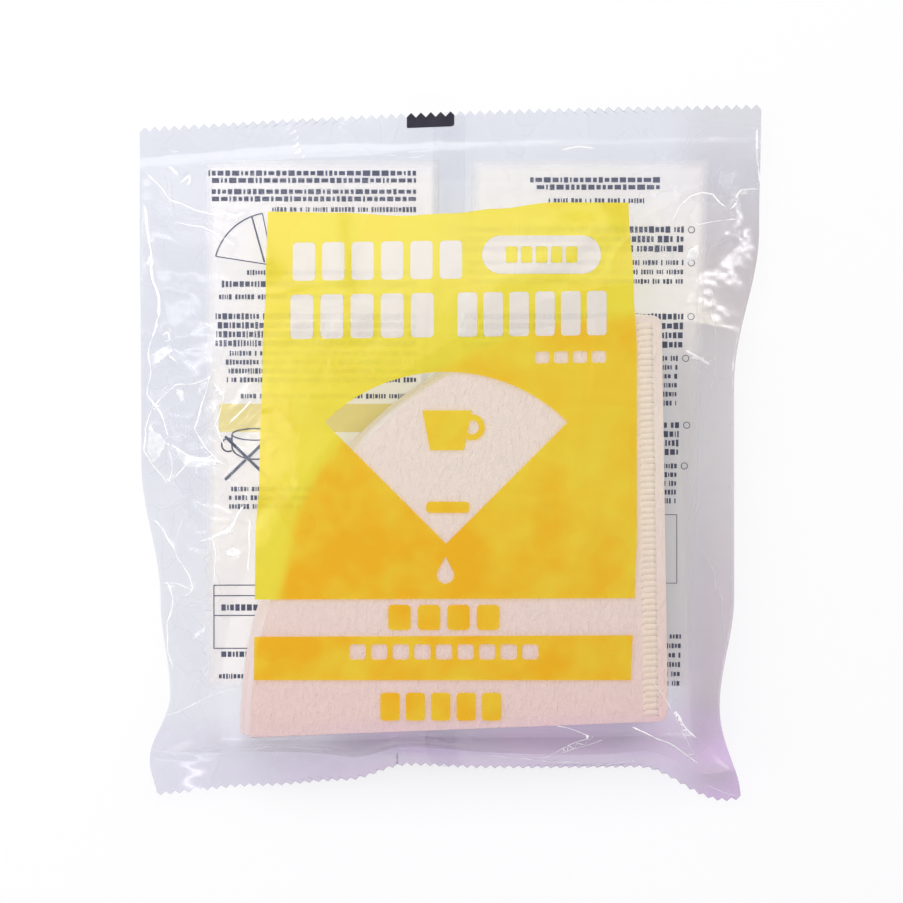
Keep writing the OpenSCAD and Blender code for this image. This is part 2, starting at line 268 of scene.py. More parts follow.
# %% [markdown]
# ## How high the film stands
#
# Film is pressed flat against the filters, meets the other sheet at the side folds and the seals, and
# swings between the two in a soft curve. A share says how far along that way a point is: 0 at the rim and 1
# at the filters. The distance to a filter comes from its flat shape, which is a quarter of a disc.

# %% The filters' place
FILTERS, PAPER_T, FILTER_R, FILTER_ANGLE = 100, 0.12, 125.0, 91.3
POINT = np.array([TUBE_W / 2 - 29, 23.7 - BAG_L / 2])
SEAM_DIR = math.radians(90.9)
FOLD_DIR = SEAM_DIR + math.radians(FILTER_ANGLE)
SLIDE = 3.2
INK_T = 0.1
FILTER_T = 2 * PAPER_T
STACK_BASE = FILM_T + INK_T
STACK_TOP = STACK_BASE + (FILTERS - 1) * FILTER_T
LEAF_GAP, CRIMP_H, FILM_ROOM = 0.1, 0.15, 0.4
ROOF_H = STACK_TOP + FILTER_T + LEAF_GAP + CRIMP_H + FILM_ROOM
# How far the film bulges, and how far in from the side folds it starts to rise
FULLNESS, LIP = 0.6, 0.5


def direction(angle):
    return np.array([math.cos(angle), math.sin(angle)])


def off_filter(x, y, reach, room=7.0, fold_room=4.3):
    """Distance to the filters, less the room that the film leaves beside them."""
    px, py = x - POINT[0], y - POINT[1]
    a = px * math.cos(FOLD_DIR) + py * math.sin(FOLD_DIR)
    b = px * math.cos(SEAM_DIR) + py * math.sin(SEAM_DIR)
    out = [np.maximum(0, -a - room), np.maximum(0, -b - fold_room),
           np.maximum(0, np.hypot(px, py) - FILTER_R - reach - room)]
    return np.sqrt(sum(v * v for v in out))


def rim_distance(x, y, s):
    """Distance to the nearest side fold or seal, rounded where two of them are near."""
    near = [x - left_x(s) - LIP, right_x(s) - LIP - x, y - bottom_seal(x), top_seal(x) - y]
    near = [np.maximum(n, 0.01) for n in near]
    return np.minimum(sum(n**-3 for n in near) ** (-1 / 3), 60)


def way_in(x, y, s, reach=0.0):
    """Share of the way from the rim, 0, to the filters, 1."""
    rim = rim_distance(x, y, s)
    return rim / (rim + off_filter(x, y, reach))


def bulge(t):
    return mix(t, np.sin(math.pi / 2 * clamp(t)), FULLNESS)


def rim_z(x, s):
    """Height at which the two sheets meet: the side folds stand higher than the ends."""
    drop = np.sqrt(np.maximum(0, SEAL_L**2 - seal_run(x) ** 2))
    return mix(mix(SIDE_H, END_H + drop, (1 - s) ** 7), END_H + 3, s**7)


# %% [markdown]
# ## Creases
#
# Thin film can't stretch, so it buckles into flat facets with sharp lines between them. Four kinds are
# added to the smooth height, and all of them fade where the film is pressed on the paper:
#
# 1. Broad creases that can be seen in the photograph, each a line with a rounded crest.
# 2. Sharp folds, also seen there. Each has a low, narrow crest here and a painted highlight, a white line, in
#    the finish below.
# 3. Gathers that fan out from the top seal.
# 4. A random crumple of facets and ridged noise. A fixed seed gives the same bag on every run.

# %% Seeded noise and ridges
def lattice_noise(x, y, seed):
    """Smooth noise from -1 to 1 with one random value at each whole number."""
    table = np.random.default_rng(seed).uniform(-1, 1, (256, 256))
    i, j = np.floor(x).astype(int), np.floor(y).astype(int)
    u, v = x - i, y - j
    u, v = u * u * u * (u * (6 * u - 15) + 10), v * v * v * (v * (6 * v - 15) + 10)
    a, b = table[i % 256, j % 256], table[(i + 1) % 256, j % 256]
    c, d = table[i % 256, (j + 1) % 256], table[(i + 1) % 256, (j + 1) % 256]
    return mix(mix(a, b, u), mix(c, d, u), v)


def ridges(x, y, size, seed, sharp=2.0):
    """Crests of 1 on wandering lines, about one size apart, that fall away to 0."""
    wx = x + 0.45 * size * lattice_noise(x / size, y / size, seed + 50)
    wy = y + 0.45 * size * lattice_noise(x / size, y / size, seed + 51)
    n = lattice_noise(wx / size, wy / size, seed)
    return np.maximum(0, 1 - np.abs(n) * 2.2) ** sharp


def facets(x, y, size, seed, stretch=(1.0, 1.0)):
    """Flat tilted facets, as in crumpled film: the highest of the planes around each point."""
    rng = np.random.default_rng(seed)
    gx, gy = x / (size * stretch[0]), y / (size * stretch[1])
    i0, j0 = np.floor(gx).astype(int), np.floor(gy).astype(int)
    jitter = rng.uniform(-0.5, 0.5, (128, 128, 2))
    tilt = rng.uniform(-1, 1, (128, 128, 3))
    best = np.full(np.shape(x), -9.0)
    for di in range(-2, 3):
        for dj in range(-2, 3):
            i, j = i0 + di, j0 + dj
            cx = i + 0.5 + jitter[i % 128, j % 128, 0]
            cy = j + 0.5 + jitter[i % 128, j % 128, 1]
            t = tilt[i % 128, j % 128]
            plane = 0.5 * t[..., 2] + t[..., 0] * (gx - cx) + t[..., 1] * (gy - cy)
            best = np.maximum(best, plane - 0.55 * ((gx - cx) ** 2 + (gy - cy) ** 2))
    return best


# %% [markdown]
# A crease is stored as the few places that it runs through, because its route can't be worked out by a
# rule. Its height and its painted highlight line both come from the distance to that route.

# %% Creases seen in the photograph
# Broad ones: the places that a crease runs through, its half width and its height
BROAD_CREASES = [
    ([(-92, 66), (-58, 58)], 9, 1.6), ([(-90, 2), (-62, -12)], 9, 2.2), ([(-90, -52), (-62, -30)], 8, 2.0),
    ([(66, 36), (90, 82)], 9, 2.4), ([(10, 46), (46, 70)], 10, 1.2), ([(68, -84), (84, -96)], 7, 1.6),
    ([(-84, -76), (-64, -84)], 6, 1.2), ([(76, 20), (78, 58)], 7, 1.5), ([(-40, 88), (-30, 40)], 9, 1.4)]
# Sharp ones on the left side, from the top to the bottom, each with the half width of its painted highlight
# line
LEFT_FOLDS = [
    ([(-88.4, 91.6), (-82.4, 90.9)], 0.15), ([(-85, 86.2), (-83.7, 84.9)], 0.4),
    ([(-81.4, 82.2), (-80.1, 83.5), (-79.3, 82.2), (-80, 80.8)], 0.25),
    ([(-90.8, 82.9), (-85.1, 76.5), (-78, 73.4), (-69, 71.5)], 0.2),
    ([(-68.6, 73.1), (-65.6, 70.4), (-62.2, 72)], 0.3), ([(-83.4, 69.1), (-75, 67.7), (-66, 63)], 0.15),
    ([(-93.1, 73.4), (-91.5, 63), (-90.8, 56)], 0.32),
    ([(-90.8, 56), (-90.4, 51.6), (-88.1, 44), (-87.8, 41.5)], 0.42),
    ([(-87.8, 41.5), (-89.4, 38.8), (-91.1, 34)], 0.25),
    ([(-91.1, 34), (-91.3, 28.7), (-91.8, 16.6)], 0.22),
    ([(-91.8, 16.6), (-88.4, 12.2), (-85.4, 5.8)], 0.3),
    ([(-87.1, 35.1), (-85.4, 36.4), (-84.4, 33.8), (-86.1, 33.1)], 0.22), ([(-84, 28), (-83, 26.7)], 0.3),
    ([(-90.5, 12.3), (-93.2, 7.2), (-92.8, 0.5), (-90.4, -4.3), (-85.7, -10)], 0.25),
    ([(-85.7, 2.5), (-84.4, -2.9), (-85.7, -10)], 0.2),
    ([(-80, -3.6), (-84.1, -8.6), (-86.1, -10.3)], 0.22),
    ([(-72.6, 22), (-75.3, 15.3), (-77, 7.2), (-74, 1.1), (-68.9, -3.6)], 0.25),
    ([(-72.6, 22), (-68.2, 17.3), (-70.6, 8.5), (-68.2, 2.5)], 0.22),
    ([(-89, 14), (-83, 20.2), (-72.6, 22)], 0.18), ([(-85.7, 2.5), (-79.7, -1.6), (-68.6, -3.4)], 0.3),
    ([(-60.5, 15), (-66, 9.5)], 0.3), ([(-89.8, -20.7), (-87.1, -23.4), (-84.1, -29.1)], 0.45),
    ([(-80.7, -18.7), (-83.7, -27.5)], 0.15),
    ([(-84.1, -29.1), (-83, -32.2), (-79, -37.5), (-78.7, -40.9), (-80.7, -43.3)], 0.22),
    ([(-86.7, -39.9), (-79, -40.9)], 0.2),
    ([(-86.1, -40.9), (-84.7, -45), (-86.1, -52.4), (-84.4, -65.8)], 0.28),
    ([(-62.5, -17), (-67.6, -23.4), (-75, -26.5)], 0.28),
    ([(-72.6, -25.8), (-71.3, -32.2), (-70.9, -38.9)], 0.18), ([(-60, -21), (-61.5, -36)], 0.2),
    ([(-88, -80), (-78, -76), (-66, -72)], 0.15)]
# Sharp ones at the top, on the right side and at the bottom
OTHER_FOLDS = [
    ([(-48.7, 99), (-46.8, 95), (-46.9, 92.6), (-45.4, 89.6)], 0.4),
    ([(34.3, 91.2), (38.4, 92.4), (42.4, 92)], 0.3), ([(-30, 90.2), (-8, 89.8)], 0.12),
    ([(70.5, 75.5), (72.3, 77.6), (75.4, 78.3), (79, 77.6), (82, 74)], 0.3),
    ([(66, 69), (68.4, 73.2), (70.5, 75.5)], 0.15), ([(86.9, 76.7), (88.4, 79.2), (93.5, 79.9)], 0.35),
    ([(84.5, 73.1), (86.3, 74.9)], 0.35), ([(74.8, 68.3), (81.4, 69.5), (85.7, 70)], 0.18),
    ([(93.4, 97.3), (93.3, 85.2), (94, 79.8)], 0.3), ([(71.1, 30.1), (76.8, 27.2)], 0.5),
    ([(78, 50), (80, 34), (78, 14)], 0.1), ([(76, -30), (82, -44), (84, -66)], 0.1),
    ([(55.3, -83), (61.3, -86.3), (66.6, -88.9), (74, -94)], 0.28),
    ([(66.6, -78.2), (69.9, -82.5), (73.6, -86.3)], 0.3),
    ([(32.2, -82.5), (41.9, -85.7), (29, -92.2)], 0.16), ([(45.1, -86.8), (34.3, -91.1)], 0.14),
    ([(78.5, -100.8), (82, -103.2), (86, -104.6)], 0.16),
    ([(-88.6, -91), (-61.7, -89.6), (-36.9, -89.6)], 0.14),
    ([(12.8, -91.8), (34.3, -94), (55.9, -94.2)], 0.14), ([(60, -68), (74, -92)], 0.12)]
# Facets where the film is kinked flat, painted white as highlights, by their corners
HIGHLIGHT_FACETS = [
    [(-91.6, 62), (-92.5, 56.3), (-90.6, 54.8), (-89.5, 57.2)],
    [(-90.1, 30.1), (-84.7, 33), (-83.6, 31), (-86.4, 28), (-89.4, 26)],
    [(-83.8, 19.8), (-80.8, 18.7), (-80.6, 14.4), (-82.4, 15.2)],
    [(-77.2, 19.6), (-72.6, 22.2), (-73.3, 19.3), (-76, 16.8)],
    [(-91.5, 9), (-88.2, 5.8), (-86, 2.2), (-88.4, -2.6), (-90.8, -4.4), (-92.6, 1.8)],
    [(-85.7, 2.6), (-81, -0.4), (-70.3, -2.2), (-68.4, -4), (-79, -5.2), (-81, -4.3)],
    [(-69.2, -31.2), (-66.2, -28), (-62.4, -31.4), (-67.6, -32)],
    [(-75, -27), (-67.6, -22.6), (-63.5, -17.6), (-66, -25)],
    [(-63.8, 89.2), (-61, 88.4), (-61.4, 86.6), (-63.4, 87.6)],
    [(-78.9, -55.4), (-73.4, -52), (-74, -54.6), (-77, -56.6)],
    [(71, 58), (72, 61.2), (74.6, 62.4), (75.6, 59.6), (72.3, 56)],
    [(70.8, 30.6), (76.8, 28.2), (77, 25.8), (72.9, 27.4)],
    [(86.8, 76.4), (88, 79.4), (91.6, 80), (89.9, 77.6)],
    [(-68.4, 72), (-64.4, 71.6), (-64.8, 68.6), (-66.6, 69.4)],
    [(-72.2, 21.6), (-68, 17.2), (-70, 16.2), (-71.6, 18.6)]]


def beside_path(x, y, path):
    """Distance to the line through a few places, above 0 on its left and below 0 on its right."""
    nearest, side = np.full(np.shape(x), 1000.0), np.ones(np.shape(x))
    for (ax, ay), (bx, by) in zip(path, path[1:]):
        run = np.array([bx - ax, by - ay], float)
        t = clamp(((x - ax) * run[0] + (y - ay) * run[1]) / (run @ run))
        dx, dy = x - ax - run[0] * t, y - ay - run[1] * t
        closer = np.hypot(dx, dy) < nearest
        nearest = np.where(closer, np.hypot(dx, dy), nearest)
        side = np.where(closer, np.where(run[0] * dy < run[1] * dx, -1, 1), side)
    return nearest * side


def wavered(x, y, reach=0.8, size=6.0):
    """The same places, moved a little at random, so that straight paths come out wavy."""
    move_x, move_y = lattice_noise(x / size, y / size, 71), lattice_noise(x / size, y / size, 72)
    return x + reach * move_x, y + reach * move_y


def broad_rise(x, y):
    wx, wy = wavered(x, y, 1.2, 7)
    return sum(high * ease(1 - np.abs(beside_path(wx, wy, path)) / half)
               for path, half, high in BROAD_CREASES)


# Half width of a sharp fold's crest, its least height, and how much higher it is for each mm of painted
# highlight line
CREST_HALF, CREST_RISE, CREST_GAIN = 2.3, 0.3, 1.5


def sharp_rise(x, y):
    wx, wy = wavered(x, y)
    total = 0
    for path, wide in LEFT_FOLDS + OTHER_FOLDS:
        crest = ease(1 - np.abs(beside_path(wx, wy, path)) / CREST_HALF) ** 2
        total = total + (CREST_RISE + CREST_GAIN * wide) * crest
    return total


# %% Random crumple, strongest where the film is slack
# Places where it is slack, as x, y and reach
SLACK = [(-84, 8, 26), (-80, -34, 22), (-86, 78, 14), (76, 72, 16), (68, -84, 16), (-82, -68, 14)]


def slackness(x, y):
    return clamp(sum(np.exp(-((x - cx) ** 2 + (y - cy) ** 2) / reach**2) for cx, cy, reach in SLACK))


def crumple(x, y, seed):
    """Random creases in millimetres, about 0 on average."""
    broad = facets(x, y, 25, seed, (0.8, 1.3))
    middle = ridges(x, y, 14, seed + 7, 1.6) - 0.3
    fine = ridges(x, y, 6.5, seed + 13, 1.4) - 0.3
    return 0.8 * broad + slackness(x, y) * (0.7 * middle + 0.25 * fine) + 0.12 * middle


# %% Heights of the two sheets
def gap_fade(x, y, s):
    """0 at the rim, where the sheets meet, to 1 a little way in."""
    return clamp(rim_distance(x, y, s) / 9)


# Height of the gathers below the top seal, the width of one, and how far down they reach
GATHER_H, GATHER_W, GATHER_REACH = 0.9, 24, 14


def top_sheet(x, y, s):
    t = way_in(x, y, s)
    rim = rim_z(x, s)
    smooth = rim + (ROOF_H - rim) * bulge(t)
    free = clamp(8 * t) * (1 - 0.75 * t)
    below_seal = np.exp((y - top_seal(x)) / GATHER_REACH)
    gathers = GATHER_H * (1 + np.cos(2 * math.pi * x / GATHER_W)) / 2 * below_seal
    broad = free * (gathers + broad_rise(x, y))
    loose = clamp(1.15 * (1 - t**5)) * gap_fade(x, y, s)
    sharp = loose * (sharp_rise(x, y) + crumple(x, y, 3))
    on_paper = 0.16 * t**5 * (1 + ridges(x, y, 30, 9, 1.2))
    return smooth + broad + sharp + on_paper


def bottom_sheet(x, y, s):
    t = way_in(x, y, s, SLIDE)
    smooth = (rim_z(x, s) - FILM_T) * (1 - bulge(t))
    lift = clamp(1 - t**4) * gap_fade(x, y, s) * np.maximum(0, 0.5 + crumple(x, y, 23)) * 0.5
    return np.maximum(0, smooth + lift * clamp(4 * (1 - t)))


# %% [markdown]
# ## The film bag
#
# The real bag is one tube of film, folded at its sides and sealed flat at both ends. Film this thin has no
# thickness that could be seen, so the piece is the bag's outer skin: a front sheet and a back sheet that
# share their rims and close at the seals. The cut ends have four columns of points to each tooth of the
# zigzag, so that every tip and every notch gets a point of its own. Further in, the columns crowd towards
# the side folds.

# %% Grid of the film
COLUMNS = 252
SEAL_ROWS, BODY_ROWS = 6, 176
TOOTH_DEPTH, LOW_TOOTH_DEPTH = 1.5, 1.0
# How much the columns crowd towards the sides, and how far in from the cut the zigzag is felt
SIDE_CROWDING, CUT_REACH = 0.45, 4


def seal_wave(x, seed):
    """Slow waves of a sealed end, which is stiff and lifts off the table here and there."""
    slow = lattice_noise(x / 31 + 7.3, x * 0 + 0.5, seed)
    quick = lattice_noise(x / 9, x * 0 + 3.5, seed)
    return 1.1 * slow + 0.35 * quick


def film_rows():
    """Share of the length, and share of the way across the seal, for each row of points."""
    seal = np.arange(SEAL_ROWS + 1) / SEAL_ROWS
    body = np.arange(1, BODY_ROWS) / BODY_ROWS
    s = np.concatenate([seal * SEAL_SHARE, mix(SEAL_SHARE, 1 - SEAL_SHARE, body),
                        1 - SEAL_SHARE * (1 - seal)])
    outward = np.concatenate([1 - seal, body * 0, seal])
    return s, outward


def film_grid(low_share=0.0, high_share=1.0, columns=COLUMNS):
    """Places of the film's points, for all of its width or for a strip along it."""
    s, outward = film_rows()
    s, outward = s[:, None], outward[:, None]
    u = np.arange(columns + 1)[None, :] / columns
    crowded = u - SIDE_CROWDING * np.sin(2 * math.pi * u) / (2 * math.pi)
    u = mix(low_share, high_share, mix(crowded, u, outward) if columns == COLUMNS else u)
    x = mix(left_x(s), right_x(s), u)
    zigzag = np.abs((np.arange(columns + 1)[None, :] / 2) % 2 - 1)
    notch = zigzag * np.where(s < 0.5, LOW_TOOTH_DEPTH, TOOTH_DEPTH)
    low, high = s <= SEAL_SHARE, s >= 1 - SEAL_SHARE
    cut_in = notch * clamp(1 - (1 - outward) * SEAL_L / CUT_REACH) * (outward > 0)
    y_low = mix(bottom_seal(x), bottom_end(x), outward) + cut_in
    y_high = mix(top_seal(x), top_end(x), outward) - cut_in
    inner = clamp((s - SEAL_SHARE) / (1 - 2 * SEAL_SHARE))
    y = np.where(low, y_low, np.where(high, y_high, mix(bottom_seal(x), top_seal(x), inner)))
    out_low = (bottom_seal(x) - y) / (bottom_seal(x) - bottom_end(x))
    out_high = (y - top_seal(x)) / (top_end(x) - top_seal(x))
    return x, y, s + 0 * x, np.where(outward > 0, clamp(np.where(s < 0.5, out_low, out_high), 0.01), 0)


def sheet_heights(x, y, s, outward):
    """Heights of the outer faces of the front and the back sheet, and of the seal between them."""
    low = s < 0.5
    seal_z = np.where(low, mix(rim_z(x, s * 0 + SEAL_SHARE), END_H + 0.8, outward),
                      mix(END_H + 3, END_H + 2, outward))
    seal_z = seal_z + outward**0.7 * np.where(low, seal_wave(x, 5), 1.5 * seal_wave(x, 6))
    body_s = clamp(s, SEAL_SHARE, 1 - SEAL_SHARE)
    top = np.where(outward > 0, seal_z, top_sheet(x, y, body_s)) + FILM_T
    bottom = np.where(outward > 0, seal_z, bottom_sheet(x, y, body_s)) - FILM_T / 2
    return top, np.maximum(0, np.minimum(bottom, top - FILM_T))


# %% [markdown]
# The tube's own seam is a fin, 10 mm wide, that lies folded flat against the back sheet. The back sheet
# rises a little over it, so that the fin and the sheet never share a place.

# %% Place the film's points
FIN_X, FIN_W, FIN_ROOM = -0.3, 10.0, 0.16
grid_x, grid_y, grid_s, grid_out = film_grid()
top_z, bottom_z = sheet_heights(grid_x, grid_y, grid_s, grid_out)


def over_fin(x):
    return FIN_ROOM * ease((FIN_W / 2 + 2.5 - np.abs(x - FIN_X)) / 2)


bottom_z = np.minimum(bottom_z + over_fin(grid_x) * (grid_out <= 0), top_z - FILM_T)
fin_low = (FIN_X - FIN_W / 2 + TUBE_W / 2) / TUBE_W
fin_x, fin_y, fin_s, fin_out = film_grid(fin_low, fin_low + FIN_W / TUBE_W, 5)
fin_top = sheet_heights(fin_x, fin_y, fin_s, fin_out)[1] + np.where(fin_out > 0, -0.15, 0.12)
fin_bottom = np.maximum(0, fin_top - 0.1)
print(f"film grid {grid_x.shape}, front sheet up to {top_z.max():.1f} mm")


# %% Close the two sheets into one skin
def grid_faces(rows, columns, base=0):
    a = (np.arange(rows - 1)[:, None] * columns + np.arange(columns - 1)[None, :]).ravel() + base
    return np.stack([a, a + 1, a + columns + 1, a + columns], 1)


def rim_loop(rows, columns):
    return np.concatenate([np.arange(columns - 1), np.arange(rows - 1) * columns + columns - 1,
                           (rows - 1) * columns + np.arange(columns - 1, 0, -1),
                           np.arange(rows - 1, 0, -1) * columns])


def closed_skin(upper, lower):
    """Points and faces of a skin between two grids of the same size, open nowhere."""
    rows, columns = upper.shape[:2]
    count = rows * columns
    top = grid_faces(rows, columns)
    bottom = grid_faces(rows, columns, count)[:, ::-1]
    loop = rim_loop(rows, columns)
    after = np.roll(loop, -1)
    side = np.stack([loop, loop + count, after + count, after], 1)
    points = np.concatenate([upper.reshape(-1, 3), lower.reshape(-1, 3)])
    return points, np.concatenate([top, bottom, side])


def stacked(x, y, z):
    return np.stack([x, y, z], -1)


film_points, film_faces = closed_skin(stacked(grid_x, grid_y, top_z), stacked(grid_x, grid_y, bottom_z))
fin_points, fin_faces = closed_skin(stacked(fin_x, fin_y, fin_top), stacked(fin_x, fin_y, fin_bottom))


# %% [markdown]
# ## How clear the film is
#
# Clear film hides almost nothing where one flat layer of it lies on paper. It looks milky where two layers
# stand apart, bluish where nothing lies behind it, and mauve to violet at the drawn-up lower end and the
# right side, where the layers crowd together and painted shade and a painted violet reflection darken it. A
# painted shadow darkens the strip below the filters, and the haze changes from place to place as painted
# light and shade, lightest at the lower left. Highlights are painted on it as white along a sharp fold and
# on a kinked facet. Each of these is a number stored on the mesh's points, so the material can use it and it
# goes along with the shape. Folds and facets are stored as distances, because the material can then draw an
# edge finer than the grid.

# %% Numbers for the film's finish
# Distances stored where no fold and no highlight facet is near, and how far out a fold's painted highlight
# line is known
NO_FOLD, NO_HIGHLIGHT_FACET, LINE_REACH = 2.0, -3.0, 1.5


def nearest_fold(x, y):
    """Signed distance to the nearest sharp fold, and the half width of its painted highlight line, 0 far from
    it.
    """
    wx, wy = wavered(x, y)
    side, width = np.full(np.shape(x), NO_FOLD), np.zeros(np.shape(x))
    for path, wide in LEFT_FOLDS + OTHER_FOLDS:
        beside = beside_path(wx, wy, path)
        closer = np.abs(beside) < np.abs(side)
        side = np.where(closer, beside, side)
        width = np.where(closer, wide * clamp(LINE_REACH - np.abs(beside)), width)
    return side, width


def highlight_facet_depth(x, y):
    """How far inside a painted highlight facet a place is, in millimetres, and below 0 outside."""
    wx, wy = wavered(x, y, 0.5, 3)
    depth = np.full(np.shape(x), NO_HIGHLIGHT_FACET)
    for corners in HIGHLIGHT_FACETS:
        closed = corners + corners[:1]
        inside = np.zeros(np.shape(x), bool)
        for (ax, ay), (bx, by) in zip(closed, closed[1:]):
            if ay != by:
                inside ^= ((ay > wy) != (by > wy)) & (wx < (bx - ax) * (wy - ay) / (by - ay) + ax)
        edge = np.abs(beside_path(wx, wy, closed))
        depth = np.maximum(depth, np.where(inside, edge, -edge))
    return depth


def low_end(x, y):
    """1 at the drawn-up lower end, 0 above it."""
    return ease((-y - 76 + 5 * ease((x - 10) / 40)) / 13)


def right_side(x, y):
    """1 beside the right side fold, fading towards the top. It paints mauve shade and heavier haze there."""
    return ease((x - 62) / 18) * mix(0.45, 1, ease((95 - y) / 45))


# Where the film gets its painted violet shade and reflection: patchy, strongest at the drawn-up lower end and
# the lower right.
def violet_shade_share(x, y):
    patchy = 0.85 + 0.3 * lattice_noise(x / 9, y / 7, 61)
    low_right = 0.35 * ease((x - 60) / 14) * ease((-y - 10) / 60)
    return clamp(patchy * np.maximum(low_end(x, y) * mix(0.3, 1, ease((x + 72) / 60)), low_right))


def stack_shadow_strip(x, y):
    """1 on the strip below the filters' lower edge, where the film lies in shade, which is painted on as
    heavier haze.
    """
    return ease((-y - 79) / 4) * ease((y + 93) / 3) * ease((x + 45) / 20) * ease((72 - x) / 20)


body_s = clamp(grid_s, SEAL_SHARE, 1 - SEAL_SHARE)
grid_near = gap_fade(grid_x, grid_y, body_s)
pressed = way_in(grid_x, grid_y, body_s) ** 3 * (grid_out <= 0)
fold_side, fold_highlight_width = nearest_fold(grid_x, grid_y)
# The haze changes from place to place, lighter at the lower left and heavier at the left middle, the right
# side and the lower end: painted light and shade, on top of the film's own milkiness.
left_low = ease((-grid_x - 40) / 30) * ease((10 - grid_y) / 40)
low, right = low_end(grid_x, grid_y), right_side(grid_x, grid_y)
left_mid = ease((-grid_x - 55) / 20) * ease((grid_y + 20) / 25) * ease((75 - grid_y) / 30)
right = right * (0.5 + 0.6 * ease(np.abs(grid_y - 5) / 60))
haze_and_shade_top = 0.07 + 0.05 * (1 - pressed) + 0.08 * low + 0.04 * right + 0.08 * stack_shadow_strip(grid_x, grid_y)
right_top = ease((grid_x - 62) / 18) * ease((grid_y - 30) / 20) * ease((100 - grid_y) / 15)
haze_and_shade_bottom = 0.35 - 0.07 * left_low + 0.06 * left_mid + 0.08 * low + 0.21 * right + 0.13 * right_top
haze_and_shade_bottom = haze_and_shade_bottom + 0.24 * stack_shadow_strip(grid_x, grid_y)
print(f"white facets cover {100 * (highlight_facet_depth(grid_x, grid_y) > 0).mean():.1f} % of the front sheet")


# %% [markdown]
# ## Materials
#
# Film, ink and paper each have their own Principled shader. The film's Alpha, the share that it hides, is
# low and rises at the seals and towards grazing angles, as real film does, and at creases, where white is
# painted on as highlights. Two effects are used more than once and are node groups: the fine crinkle of
# film, and the crepe of filter paper. Both put out a height that a Bump node reads, from Object coordinates,
# so that the pattern stays on the piece. The rays that look for a lamp pass film and ink as if they were
# clear glass. It keeps what lies below bright, as thin film does, and it spares much of the work of a render.

# %% A group for crinkled film, used by the film and by the ink on it
def shader_group(name, inputs, outputs=("Height",)):
    tree = bpy.data.node_groups.new(name, "ShaderNodeTree")
    tree.interface.new_socket("Vector", in_out="INPUT", socket_type="NodeSocketVector")
    for socket, value in inputs:
        tree.interface.new_socket(socket, in_out="INPUT", socket_type="NodeSocketFloat").default_value = value
    for socket in outputs:
        tree.interface.new_socket(socket, in_out="OUTPUT", socket_type="NodeSocketFloat")
    return tree, tree.nodes.new("NodeGroupInput"), tree.nodes.new("NodeGroupOutput")


def fill(node, index, value):
    """Sets a socket to a number, or links it to another node's output."""
    if isinstance(value, (int, float)):
        node.inputs[index].default_value = value
    else:
        node.id_data.links.new(value, node.inputs[index])


def math_node(tree, operation, a, b):
    node = tree.nodes.new("ShaderNodeMath")
    node.operation = operation
    fill(node, 0, a)
    fill(node, 1, b)
    return node.outputs[0]


def ramp_up(tree, value, start, width):
    """0 below start, rising to 1 over width."""
    share = math_node(tree, "DIVIDE", math_node(tree, "SUBTRACT", value, start), width)
    return math_node(tree, "MINIMUM", math_node(tree, "MAXIMUM", share, 0), 1)


def noise_node(tree, vector, scale, detail, roughness=0.5, distortion=0.0):
    """Cloudy noise from 0 to 1, about 0.5 on average."""
    node = tree.nodes.new("ShaderNodeTexNoise")
    tree.links.new(vector, node.inputs["Vector"])
    fill(node, "Scale", scale)
    node.inputs["Detail"].default_value = detail
    node.inputs["Roughness"].default_value = roughness
    node.inputs["Distortion"].default_value = distortion
    return node.outputs["Fac"]


def cell_node(tree, vector, scale, feature):
    node = tree.nodes.new("ShaderNodeTexVoronoi")
    node.feature = feature
    tree.links.new(vector, node.inputs["Vector"])
    fill(node, "Scale", scale)
    return node.outputs["Distance" if feature == "DISTANCE_TO_EDGE" else "Color"]


# Scales of the crinkle's height and of the noise that bends its creases, in waves to the metre
CRINKLE_SCALE, WOBBLE_SCALE = 190, 90


def make_crinkle_group():
    """Facets with creases between them: a tone for each facet, the creases' lines, and a soft height."""
    tree, given, out = shader_group("film_crinkle", [("Facets", 75.0), ("Line", 0.02), ("Warp", 0.008)],
                                    ("Height", "Tone", "Crease"))
    wobble = tree.nodes.new("ShaderNodeTexNoise")
    wobble.inputs["Scale"].default_value = WOBBLE_SCALE
    tree.links.new(given.outputs["Vector"], wobble.inputs["Vector"])
    shift = tree.nodes.new("ShaderNodeVectorMath")
    shift.operation = "SCALE"
    tree.links.new(wobble.outputs["Color"], shift.inputs[0])
    tree.links.new(given.outputs["Warp"], shift.inputs["Scale"])
    moved = tree.nodes.new("ShaderNodeVectorMath")
    tree.links.new(given.outputs["Vector"], moved.inputs[0])
    tree.links.new(shift.outputs[0], moved.inputs[1])
    place = moved.outputs[0]
    tone = cell_node(tree, place, given.outputs["Facets"], "F1")
    edge = cell_node(tree, place, given.outputs["Facets"], "DISTANCE_TO_EDGE")
    crease = math_node(tree, "SUBTRACT", 1, ramp_up(tree, edge, 0, given.outputs["Line"]))
    tree.links.new(noise_node(tree, given.outputs["Vector"], CRINKLE_SCALE, 1), out.inputs["Height"])
    tree.links.new(tone, out.inputs["Tone"])
    tree.links.new(crease, out.inputs["Crease"])
    return tree


film_crinkle = make_crinkle_group()


# %% A group for the crepe of the paper
def make_crepe_group():
    tree, given, out = shader_group("paper_crepe", [("Wrinkles", 700.0), ("Fibres", 2600.0)])
    squeeze = tree.nodes.new("ShaderNodeMapping")
    squeeze.inputs["Scale"].default_value = (1.0, 0.45, 1.0)
    tree.links.new(given.outputs["Vector"], squeeze.inputs["Vector"])
    wrinkles = noise_node(tree, squeeze.outputs[0], given.outputs["Wrinkles"], 2, 0.6, 0.8)
    fibres = noise_node(tree, given.outputs["Vector"], given.outputs["Fibres"], 1)
    mixed = math_node(tree, "ADD", wrinkles, math_node(tree, "MULTIPLY", fibres, 0.35))
    tree.links.new(mixed, out.inputs["Height"])
    return tree


